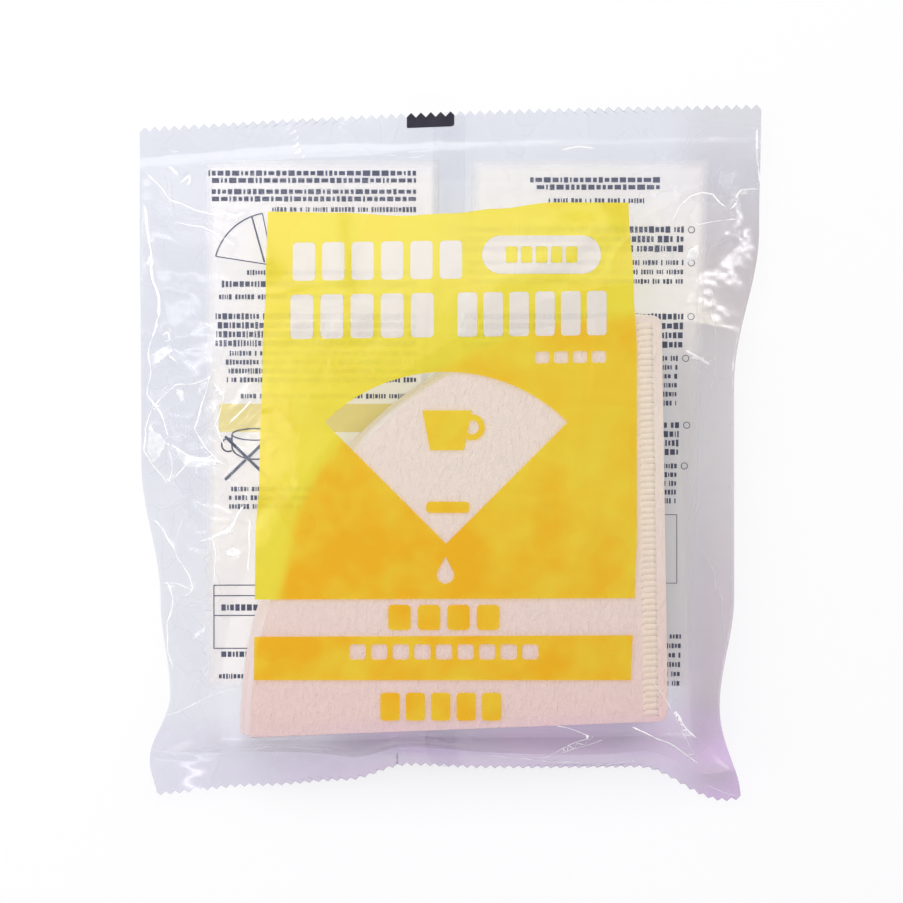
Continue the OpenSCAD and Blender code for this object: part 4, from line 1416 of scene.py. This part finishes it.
def make_mark_tree():
    tree, given, out = node_tree("lines_of_marks", [
        ("Lines", "NodeSocketInt"), ("Marks", "NodeSocketInt"), ("Line length", "NodeSocketFloat"),
        ("Line pitch", "NodeSocketFloat"), ("Lean", "NodeSocketFloat"), ("Mark height", "NodeSocketFloat"),
        ("Narrowest", "NodeSocketFloat"), ("Widest", "NodeSocketFloat"), ("Gap", "NodeSocketFloat"),
        ("Word gap", "NodeSocketFloat"), ("Word share", "NodeSocketFloat"), ("Seed", "NodeSocketInt"),
        ("Material", "NodeSocketMaterial")])
    get = given.outputs
    points = tree.nodes.new("GeometryNodePoints")
    index = tree.nodes.new("GeometryNodeInputIndex").outputs[0]
    half_on = math_node(tree, "ADD", index, 0.5)
    line = math_node(tree, "FLOOR", math_node(tree, "DIVIDE", half_on, get["Marks"]), 0)
    wide = random_between(tree, get["Narrowest"], get["Widest"], get["Seed"])
    tall = random_between(tree, MARK_SHORT, MARK_TALL, math_node(tree, "ADD", get["Seed"], 50))
    drawn = random_between(tree, 0.0, 1.0, math_node(tree, "ADD", get["Seed"], 99))
    ends_word = math_node(tree, "LESS_THAN", drawn, get["Word share"])
    space = math_node(tree, "ADD", get["Gap"], math_node(tree, "MULTIPLY", ends_word, get["Word gap"]))
    add_up = tree.nodes.new("GeometryNodeAccumulateField")
    start = add_up.outputs["Trailing"]
    middle = math_node(tree, "ADD", start, math_node(tree, "MULTIPLY", wide, 0.5))
    down = math_node(tree, "MULTIPLY", line, get["Line pitch"])
    across = math_node(tree, "ADD", middle, math_node(tree, "MULTIPLY", down, get["Lean"]))
    place = tree.nodes.new("ShaderNodeCombineXYZ")
    move = tree.nodes.new("GeometryNodeSetPosition")
    too_far = math_node(tree, "GREATER_THAN", math_node(tree, "ADD", start, wide), get["Line length"])
    drop = tree.nodes.new("GeometryNodeDeleteGeometry")
    size = tree.nodes.new("ShaderNodeCombineXYZ")
    size.inputs["Z"].default_value = 1
    mark = tree.nodes.new("GeometryNodeMeshCube")
    mark.inputs["Size"].default_value = (1, 1, MARK_THICK)
    set_marks = tree.nodes.new("GeometryNodeInstanceOnPoints")
    with_width, kept_width = keep_number(tree, points.outputs[0], "mark_width", wide)
    with_height, kept_height = keep_number(tree, with_width, "mark_height", tall)
    connect(tree, (math_node(tree, "MULTIPLY", get["Lines"], get["Marks"]), points.inputs["Count"]),
            (math_node(tree, "ADD", wide, space), add_up.inputs["Value"]), (line, add_up.inputs["Group ID"]),
            (math_node(tree, "MULTIPLY", across, -1), place.inputs["X"]),
            (math_node(tree, "MULTIPLY", down, -1), place.inputs["Y"]),
            (with_height, move.inputs["Geometry"]), (place.outputs[0], move.inputs["Offset"]),
            (move.outputs[0], drop.inputs["Geometry"]),
            (too_far, drop.inputs["Selection"]), (drop.outputs[0], set_marks.inputs["Points"]),
            (mark.outputs["Mesh"], set_marks.inputs["Instance"]), (kept_width, size.inputs["X"]),
            (math_node(tree, "MULTIPLY", kept_height, get["Mark height"]), size.inputs["Y"]),
            (size.outputs[0], set_marks.inputs["Scale"]))
    return finish_tree(tree, set_marks.outputs[0], given, out)


mark_tree = make_mark_tree()


# %% [markdown]
# Each block of small print is one run of the tree with its own numbers. Its flat result is then set on the
# back sheet, point by point, so that it follows the film.

# %% Blocks of small print
# Kinds of print, as mark height, narrowest, widest, gap, word gap and share of marks that end a word
HEADING = (1.7, 0.5, 2.4, 0.55, 0.0, 0.0)
BOLD = (2.1, 0.3, 1.6, 0.42, 0.8, 0.05)
FINE = (1.65, 0.28, 0.9, 0.32, 0.75, 0.2)
# More marks than the longest line can hold
MARKS_A_LINE = 80
LEFT_START = -10.6
# Each block: where its lines start at the right, its first line, line length, pitch, lines and kind
PRINT_BLOCKS = [
    (LEFT_START, 84.4, 63.0, 2.2, 2, HEADING), (LEFT_START, 78.8, 62.0, 2.2, 2, HEADING),
    (LEFT_START, 73.4, 44.0, 3.0, 1, FINE),
    (LEFT_START, 54.3, 51.5, 3.0, 1, FINE), (LEFT_START, 50.8, 59.0, 3.4, 1, BOLD),
    (LEFT_START, 46.9, 60.5, 3.0, 1, FINE), (LEFT_START, 41.0, 61.0, 2.72, 4, BOLD),
    (LEFT_START, 29.8, 58.0, 2.68, 4, FINE), (LEFT_START, 16.8, 54.0, 3.0, 1, FINE),
    (LEFT_START, -11.4, 57.0, 2.65, 3, FINE), (-56.0, -47.4, 14.0, 3.0, 1, BOLD),
    (-54.0, -61.6, 17.0, 3.0, 1, BOLD), (-55.0, -68.3, 16.0, 3.0, 1, FINE),
    (63.4, 82.4, 39.5, 2.2, 2, HEADING), (58.6, 76.1, 30.0, 3.0, 1, FINE),
    (70.7, 67.4, 68.0, 2.9, 3, BOLD), (70.6, 57.4, 66.0, 2.85, 3, FINE), (70.6, 41.0, 68.0, 2.85, 4, BOLD),
    (68.9, 28.3, 66.0, 2.72, 6, FINE), (69.3, 8.0, 68.0, 2.72, 4, BOLD), (68.6, -4.4, 66.0, 2.65, 5, FINE),
    (69.9, -56.2, 40.0, 2.85, 6, FINE)]


def on_back_sheet(mesh, lift):
    """Sets every point of a flat mesh on the back sheet, by its place in x and y."""
    n = len(mesh.vertices)
    co = np.zeros(n * 3)
    mesh.vertices.foreach_get("co", co)
    co = co.reshape(-1, 3)
    x, y = co[:, 0] / MM, co[:, 1] / MM
    co[:, 2] += (bottom_sheet(x, y, share_at(x, y)) + lift) * MM
    mesh.vertices.foreach_set("co", co.ravel())
    mesh.update()


def join_meshes(meshes):
    points, faces, base = [], [], 0
    for mesh in meshes:
        co = np.zeros(len(mesh.vertices) * 3)
        mesh.vertices.foreach_get("co", co)
        points.append(co.reshape(-1, 3) / MM)
        faces += [[v + base for v in p.vertices] for p in mesh.polygons]
        base += len(mesh.vertices)
    return np.concatenate(points), faces


def shifted(mesh, dx, dy):
    mesh.transform(Matrix.Translation((dx * MM, dy * MM, 0)))
    return mesh


blocks = []
for i, (start, first, length, pitch, lines, kind) in enumerate(PRINT_BLOCKS):
    tall, narrowest, widest, gap, word_gap, word_share = kind
    block = run_tree(f"block_{i}", mark_tree, {
        "Lines": lines, "Marks": MARKS_A_LINE, "Line length": length * MM, "Line pitch": pitch * MM,
        "Lean": LEAN * (start > 0), "Mark height": tall * MM, "Narrowest": narrowest * MM,
        "Widest": widest * MM, "Gap": gap * MM, "Word gap": word_gap * MM, "Word share": word_share,
        "Seed": i + 1, "Material": slate_ink})
    blocks.append(shifted(block, start, first))
print(f"{len(blocks)} blocks of small print")


# %% [markdown]
# The small print also has line drawings: a folded filter, a crossed-out cup, two empty tables and a small
# ring beside each paragraph at the right. They are thin bars along simple paths, cut into short lengths so
# that they follow the curve of the sheet.

# %% Line drawings
# Thickness of a drawn line, the longest of its short lengths, and the height of small print above the sheet
STROKE_THICK, STROKE_STEP, PRINT_LIFT = 0.03, 4, 0.12


def stroke(points, width):
    """Flat bar of a given width along a path, as points and faces."""
    path = np.array(points, float)
    steps = np.diff(path, axis=0)
    steps = np.concatenate([steps, steps[-1:]])
    normal = np.stack([-steps[:, 1], steps[:, 0]], 1)
    normal = normal / np.maximum(np.linalg.norm(normal, axis=1, keepdims=True), 1e-6) * width / 2
    n = len(path)
    flat = np.concatenate([path + normal, path - normal])
    low = np.concatenate([flat, np.zeros((2 * n, 1))], 1)
    high = low + [0, 0, STROKE_THICK]
    m = 2 * n
    faces = []
    for i in range(n - 1):
        a, b, c, d = i, i + 1, n + i + 1, n + i
        faces += [[d + m, c + m, b + m, a + m], [a, b, c, d], [a + m, b + m, b, a], [c + m, d + m, d, c]]
    faces += [[0, n, n + m, m], [n - 1 + m, 2 * n - 1 + m, 2 * n - 1, n - 1]]
    return np.concatenate([low, high]), faces


def line(a, b, width=0.3):
    steps = max(2, int(math.hypot(b[0] - a[0], b[1] - a[1]) / STROKE_STEP) + 1)
    return stroke([mix(np.array(a, float), np.array(b, float), t) for t in np.linspace(0, 1, steps)], width)


def arc(center, r, start, end, width=0.3, squash=1.0):
    angles = np.radians(np.linspace(start, end, 25))
    places = [(center[0] + r * math.cos(a), center[1] + squash * r * math.sin(a)) for a in angles]
    return stroke(places, width)


def frame_lines(left, right, top, low, rules, width=0.3):
    strokes = [line((left, top), (right, top), width), line((left, low), (right, low), width),
               line((left, top), (left, low), width), line((right, top), (right, low), width)]
    return strokes + [line((left, y), (right, y), width) for y in rules]


# The folded filter: its mouth, its two sides and a line beside the fold
drawings = [arc((-54.0, 54.5), 18.0, 100, 165, 0.4), line((-54.0, 56.5), (-71.4, 59.2), 0.3),
            line((-54.0, 56.5), (-57.2, 72.2), 0.3), line((-56.6, 57.4), (-60.4, 71.2), 0.5)]
# The cup: its bowl, side, rim and handle, and the cross over it
drawings += [arc((-59.5, 1.5), 7.0, 180, 360, 0.45, 0.55), line((-66.5, 5.2), (-66.5, 1.5), 0.45),
             arc((-59.5, 5.2), 7.0, 0, 360, 0.4, 0.25), arc((-67.6, 2.0), 2.0, 60, 300, 0.45),
             line((-68.6, 4.6), (-55.0, -8.6), 0.9), line((-68.6, -8.6), (-55.0, 4.6), 0.9)]
# The wide table, the rings beside the paragraphs, and the narrow table
RINGS = [(73, 67.3), (73, 57.3), (72.9, 41), (71.3, 28.3), (71.6, 8), (70.9, -4.4)]
drawings += frame_lines(-72.0, -20.0, -40.6, -59.8, [-43.8, -49.8])
drawings += [arc(place, 0.95, 0, 360, 0.22) for place in RINGS]
drawings += frame_lines(61.0, 68.6, -19.2, -40.0, [], 0.2)
print(f"{len(drawings)} strokes in the line drawings")


def as_mesh(name, points, faces):
    mesh = bpy.data.meshes.new(name)
    mesh.from_pydata((np.asarray(points) * MM).tolist(), [], faces)
    return mesh


small_print = blocks + [as_mesh(f"stroke_{i}", *s) for i, s in enumerate(drawings)]
for mesh in small_print:
    on_back_sheet(mesh, PRINT_LIFT)
ink_piece("small_print", *join_meshes(small_print), slate_ink, "dark_ink")


# %% [markdown]
# ## The filters
#
# A cone filter lies flat as a quarter of a disc: two leaves of creped paper joined by a fold on one side
# and a crimped seam on the other. The outline is a sector with a round point, and a round corner where the
# seam meets the mouth. Its mouth reaches a little further along the fold than along the seam.

# %% Outline of a filter laid flat
POINT_R, MOUTH_R = 3.0, 3.0
# The mouth's reach from the point, along the seam and along the fold
SEAM_REACH, FOLD_REACH = FILTER_R - 2.7, FILTER_R + 1.0


def mouth_corner():
    """Middle of the round corner where the seam meets the mouth, seen from the point, and its own turn."""
    turn = math.asin(MOUTH_R / (SEAM_REACH - MOUTH_R))
    return (SEAM_REACH - MOUTH_R) * direction(SEAM_DIR + turn), turn


def tip_middle():
    """Middle of the round point, seen from where the seam's and the fold's lines meet."""
    half = math.radians(FILTER_ANGLE) / 2
    return POINT_R / math.sin(half) * direction(SEAM_DIR + half)


def filter_outline(steps=64):
    """The filter laid flat, as places around its edge that start at its point and run up the seam."""
    corner, mouth_turn = mouth_corner()
    seam_end = (SEAM_REACH - MOUTH_R) * math.cos(mouth_turn)
    tip_turns = np.linspace(FOLD_DIR + math.pi / 2, SEAM_DIR + 1.5 * math.pi, 9)
    corner_turns = np.linspace(SEAM_DIR - math.pi / 2, SEAM_DIR + mouth_turn, 9)
    points = [tip_middle() + POINT_R * direction(a) for a in tip_turns]
    points += [seam_end * t * direction(SEAM_DIR) for t in (0.25, 0.5, 0.75)]
    points += [corner + MOUTH_R * direction(a) for a in corner_turns]
    for share in np.linspace(0, 1, steps)[1:]:
        turn = mix(SEAM_DIR + mouth_turn, FOLD_DIR, share)
        reach = mix(SEAM_REACH, FOLD_REACH, (turn - SEAM_DIR) / (FOLD_DIR - SEAM_DIR))
        points.append(reach * direction(turn))
    points += [FILTER_R * t * direction(FOLD_DIR) for t in (0.75, 0.5, 0.25)]
    return np.array(points) + POINT


outline = filter_outline()
print(f"filter outline of {len(outline)} points")


# %% [markdown]
# The paper is cream, matt and creped. The crepe shows by its shading and by painted shade, a darker colour
# in its valleys than on its crests. Lower down the paper is painted rosy, a painted violet cast like the one
# on the bag's drawn-up end. The crimp and the stack's edges have papers of their own, because they catch
# less of the crepe.

# %% Paper material
# Where the painted rosy cast starts below the frame's middle, and over what height, in metres
ROSY_CAST_FROM, ROSY_CAST_OVER = 0.012, 0.07
# How dark the painted shade in the crepe's valleys is, beside its crests
VALLEY_SHADE = 0.89


def paper_material(name, color, painted_rosy_cast, depth):
    """Creped paper of a colour that turns to a painted rosy cast lower down, with painted shade in its
    crepe's valleys, and crepe of a given depth in metres.
    """
    material, nodes, links = new_material(name)
    tree = material.node_tree
    out = nodes.new("ShaderNodeOutputMaterial")
    shader = principled(nodes, color, 0.92, 1.0, 0.2)
    crepe = add_bump(nodes, links, shader, paper_crepe, depth, 1.0).outputs["Height"]
    coordinates = nodes.new("ShaderNodeTexCoord")
    split = nodes.new("ShaderNodeSeparateXYZ")
    links.new(coordinates.outputs["Object"], split.inputs[0])
    # The painted rosy cast below the frame's middle.
    low = ramp_up(tree, math_node(tree, "MULTIPLY", split.outputs["Y"], -1), ROSY_CAST_FROM, ROSY_CAST_OVER)
    base = tint_by(nodes, links, low, color, painted_rosy_cast)
    # Painted shade: the crepe's valleys get a darker copy of the colour.
    painted_valley_shade = tint_by(nodes, links, low, *[tuple(VALLEY_SHADE * c for c in shade) for shade in (color, painted_rosy_cast)])
    contrast = ramp_up(tree, crepe, 0.3, 0.75)
    links.new(tint_by(nodes, links, contrast, painted_valley_shade, base), shader.inputs["Base Color"])
    links.new(shader.outputs[0], out.inputs["Surface"])
    return material


top_paper = paper_material("creped_paper", (0.8, 0.675, 0.57), (0.78, 0.575, 0.515), 0.00045)
ridge_paper = paper_material("crimped_paper", (0.8, 0.68, 0.53), (0.79, 0.63, 0.51), 0.0002)
stack_paper = paper_material("stacked_paper", (0.85, 0.79, 0.74), (0.84, 0.71, 0.68), 0.0001)


# %% [markdown]
# ## The stack
#
# Below the top filter lie 99 more. They have slid a little to the left as the pack settled, mostly in three
# bundles, and none lies exactly on the next. Geometry Nodes repeat one filter up a line of points, with a
# slide that fades towards the top in steps, and a random offset and turn for each.

# %% Geometry Nodes tree: a piece repeated along a line
# A bundle's share of the pile, and how much of the slide goes by bundles and how much evenly
BUNDLE, BUNDLE_SLIDE, EVEN_SLIDE = 0.34, 0.85, 0.3


def make_repeat_tree():
    tree, given, out = node_tree("repeat_along_line", [
        ("Count", "NodeSocketInt"), ("Step", "NodeSocketVector"), ("Slide", "NodeSocketVector"),
        ("Scatter", "NodeSocketFloat"), ("Turn", "NodeSocketFloat"), ("Seed", "NodeSocketInt"),
        ("Material", "NodeSocketMaterial")])
    points = tree.nodes.new("GeometryNodeMeshLine")
    index = tree.nodes.new("GeometryNodeInputIndex")
    done = math_node(tree, "DIVIDE", index.outputs[0], given.outputs["Count"])
    share = math_node(tree, "SUBTRACT", 1, done)
    bundle = math_node(tree, "MULTIPLY", math_node(tree, "SNAP", share, BUNDLE), BUNDLE_SLIDE)
    share = math_node(tree, "ADD", bundle, math_node(tree, "MULTIPLY", share, EVEN_SLIDE))
    slide = tree.nodes.new("ShaderNodeVectorMath")
    slide.operation = "SCALE"
    scatter = tree.nodes.new("FunctionNodeRandomValue")
    scatter.data_type = "FLOAT_VECTOR"
    spread = tree.nodes.new("ShaderNodeCombineXYZ")
    spread_low = tree.nodes.new("ShaderNodeVectorMath")
    spread_low.operation = "SCALE"
    spread_low.inputs["Scale"].default_value = -1
    offset = tree.nodes.new("ShaderNodeVectorMath")
    move = tree.nodes.new("GeometryNodeSetPosition")
    turns = tree.nodes.new("FunctionNodeRandomValue")
    turn = tree.nodes.new("ShaderNodeCombineXYZ")
    place = tree.nodes.new("GeometryNodeInstanceOnPoints")
    turn_low = math_node(tree, "MULTIPLY", given.outputs["Turn"], -1)
    turn_seed = math_node(tree, "ADD", given.outputs["Seed"], 1)
    get = given.outputs
    connect(tree, (get["Count"], points.inputs["Count"]), (get["Step"], points.inputs["Offset"]),
            (get["Slide"], slide.inputs[0]), (share, slide.inputs["Scale"]),
            (get["Scatter"], spread.inputs["X"]), (get["Scatter"], spread.inputs["Y"]),
            (spread.outputs[0], spread_low.inputs[0]), (spread_low.outputs[0], scatter.inputs["Min"]),
            (spread.outputs[0], scatter.inputs["Max"]), (get["Seed"], scatter.inputs["Seed"]),
            (slide.outputs[0], offset.inputs[0]), (scatter.outputs["Value"], offset.inputs[1]),
            (points.outputs[0], move.inputs["Geometry"]), (offset.outputs[0], move.inputs["Offset"]),
            (turn_low, turns.inputs[2]), (get["Turn"], turns.inputs[3]), (turn_seed, turns.inputs["Seed"]),
            (turns.outputs[1], turn.inputs["Z"]), (move.outputs[0], place.inputs["Points"]),
            (get["Geometry"], place.inputs["Instance"]), (turn.outputs[0], place.inputs["Rotation"]))
    return finish_tree(tree, place.outputs[0], given, out)


repeat_tree = make_repeat_tree()


# %% [markdown]
# The stack is one thin solid for each filter, repeated by the tree. The sheets hardly show from above, but
# from the side their edges do, so each of them is a true one.

# %% Build the stack
def prism(outline_mm, low, high):
    """Closed straight-sided solid over an outline, as points and faces."""
    n = len(outline_mm)
    points = np.concatenate([np.column_stack([outline_mm, np.full(n, z)]) for z in (low, high)])
    around = [[i, (i + 1) % n, (i + 1) % n + n, i + n] for i in range(n)]
    return points, around + [list(range(n - 1, -1, -1)), list(range(n, 2 * n))]


at_origin = outline - POINT
# The sheets slid mostly along the fold, and a little up towards the mouth
PILE_SLIDE, SLIDE_UP = 4.0, math.radians(14)
slide_way = PILE_SLIDE * direction(FOLD_DIR - SLIDE_UP)
# Room between two filters, and the reach of their random offset
SHEET_ROOM, SHEET_SCATTER, SHEET_TURN = 0.03, 0.14, math.radians(0.05)
stack_mesh = run_tree("filter_pile", repeat_tree, {
    "Count": FILTERS - 1, "Step": (0, 0, FILTER_T * MM), "Slide": (slide_way[0] * MM, slide_way[1] * MM, 0),
    "Scatter": SHEET_SCATTER * MM, "Turn": SHEET_TURN, "Seed": 7, "Material": stack_paper},
    *prism(at_origin, 0.0, FILTER_T - SHEET_ROOM))
stack_mesh.transform(Matrix.Translation((POINT[0] * MM, POINT[1] * MM, STACK_BASE * MM)))
pile = bpy.data.objects.new("filter_pile", stack_mesh)
bpy.context.scene.collection.objects.link(pile)
finish_piece(pile, "filter_paper", "filter_stack")


# %% [markdown]
# ## The top filter
#
# The top filter is the one that is seen, so it gets a fine grid of its own. The upper leaf waves a little,
# and its seam carries the crimp: low ridges across the seam, pressed into both leaves. The grid is cut
# along the outline's signed distance, as the ink was.

# %% Height of the upper leaf
SEAM_W, CRIMP_MARGIN, CRIMP_PITCH = 4.6, 2.8, 1.85
leaf_base = STACK_TOP + 0.02


def inward(x, y):
    """Distances in from the seam and from the fold, which are not quite square to each other."""
    px, py = x - POINT[0], y - POINT[1]
    seam_in, fold_in = direction(SEAM_DIR + math.pi / 2), direction(FOLD_DIR - math.pi / 2)
    return px * seam_in[0] + py * seam_in[1], px * fold_in[0] + py * fold_in[1]


def sector_distance(x, y):
    """Negative inside the filter laid flat."""
    px, py = x - POINT[0], y - POINT[1]
    from_seam, from_fold = inward(x, y)
    reach = mix(SEAM_REACH, FOLD_REACH, fold_share(x, y))
    sector = np.maximum(np.maximum(-from_seam, -from_fold), np.hypot(px, py) - reach)
    corner, mouth_turn = mouth_corner()
    along_seam = px * math.cos(SEAM_DIR) + py * math.sin(SEAM_DIR)
    past = (along_seam > (SEAM_REACH - MOUTH_R) * math.cos(mouth_turn)) & (from_seam < MOUTH_R)
    past &= np.arctan2(py, px) < SEAM_DIR + mouth_turn
    round_corner = np.hypot(px - corner[0], py - corner[1]) - MOUTH_R
    tip = tip_middle()
    near_tip = (from_seam < POINT_R) & (from_fold < POINT_R)
    round_tip = np.hypot(px - tip[0], py - tip[1]) - POINT_R
    sector = np.where(past, np.maximum(sector, round_corner), sector)
    return np.where(near_tip, np.maximum(sector, round_tip), sector)


# Height of the upper leaf's waves, and the width over which they fade at the crimp and at the other edges
LEAF_WAVE, CRIMP_FADE, EDGE_FADE = 0.12, 6, 4


def leaf_height(x, y):
    beside_crimp = ease((inward(x, y)[0] - SEAM_W - CRIMP_MARGIN) / CRIMP_FADE)
    inner = beside_crimp * ease(-sector_distance(x, y) / EDGE_FADE)
    return leaf_base + FILTER_T + LEAF_WAVE * (1 + lattice_noise(x / 16, y / 21, 31)) * inner


# %% [markdown]
# The leaf's grid is fine enough for its waves. The crepe is finer than any grid and stays in the paper's
# material.

# %% Build the top filter
LEAF_STEP = 0.62
leaf_x, leaf_y = np.meshgrid(np.arange(POINT[0] - FOLD_REACH - 1, POINT[0] + 2, LEAF_STEP),
                             np.arange(POINT[1] - 8, POINT[1] + FILTER_R + 1, LEAF_STEP))
leaf_z = leaf_height(leaf_x, leaf_y)
leaf_points, leaf_triangles = sheet_triangles(leaf_x, leaf_y, leaf_z)
leaf_cut = cut_sheet(leaf_points, leaf_triangles, sector_distance, (0.6,))


def leaf_body(points, faces, floor_z):
    """Closes the cut leaf down to a flat underside."""
    skin, skin_faces = thin_skin(points, faces, 0.0, 0.0)
    skin[len(points):, 2] = floor_z
    return skin, skin_faces


top_filter = make_piece("top_filter", *leaf_body(*leaf_cut, leaf_base), top_paper)
finish_piece(top_filter, "filter_paper", "front_filter")

# %% [markdown]
# The crimp is a row of low arches pressed across the seam, where two rollers bite the leaves together. One
# arch is repeated along the seam by the same tree that piled up the filters, with a little scatter and
# turn, because the rollers don't bite evenly.

# %% Crimp ridges
ARCH_SUNK = 0.05


def arch(width, length, height):
    """Low wave over a rectangle, with its underside sunk a little into the paper."""
    u, v = np.meshgrid(np.linspace(-1, 1, 7), np.linspace(-1, 1, 9))
    wave = height * (1 - v**2) * (1 - u**8)
    upper = stacked(u * width / 2, v * length / 2, wave)
    return closed_skin(upper, stacked(u * width / 2, v * length / 2, np.full_like(wave, -ARCH_SUNK)))


# Height and lean of a ridge, the first one's place along the seam, and how unevenly they lie
RIDGE_RISE, RIDGE_LEAN, FIRST_RIDGE = 0.32, math.radians(3), 2.6
RIDGE_SCATTER, RIDGE_TURN = 0.1, math.radians(2)
arch_points, arch_faces = arch(SEAM_W, CRIMP_PITCH, RIDGE_RISE)
turned = Matrix.Rotation(RIDGE_LEAN, 3, "Z")
arch_points = arch_points @ np.array(turned).T
ridge_count = int((SEAM_REACH - 1 - FIRST_RIDGE) / CRIMP_PITCH)
seam_step = CRIMP_PITCH * direction(SEAM_DIR) * MM
ridges_mesh = run_tree("crimp_ridges", repeat_tree, {
    "Count": ridge_count, "Step": (seam_step[0], seam_step[1], 0), "Slide": (0, 0, 0),
    "Scatter": RIDGE_SCATTER * MM, "Turn": RIDGE_TURN, "Seed": 21, "Material": ridge_paper},
    arch_points, arch_faces)
seam_middle = (CRIMP_MARGIN + SEAM_W / 2) * direction(SEAM_DIR + math.pi / 2)
first_place = seam_middle + FIRST_RIDGE * direction(SEAM_DIR) + POINT
ridges_mesh.transform(Matrix.Translation((*(first_place * MM), (leaf_base + FILTER_T) * MM)))
crimp = bpy.data.objects.new("crimp_ridges", ridges_mesh)
bpy.context.scene.collection.objects.link(crimp)
finish_piece(crimp, "filter_paper")
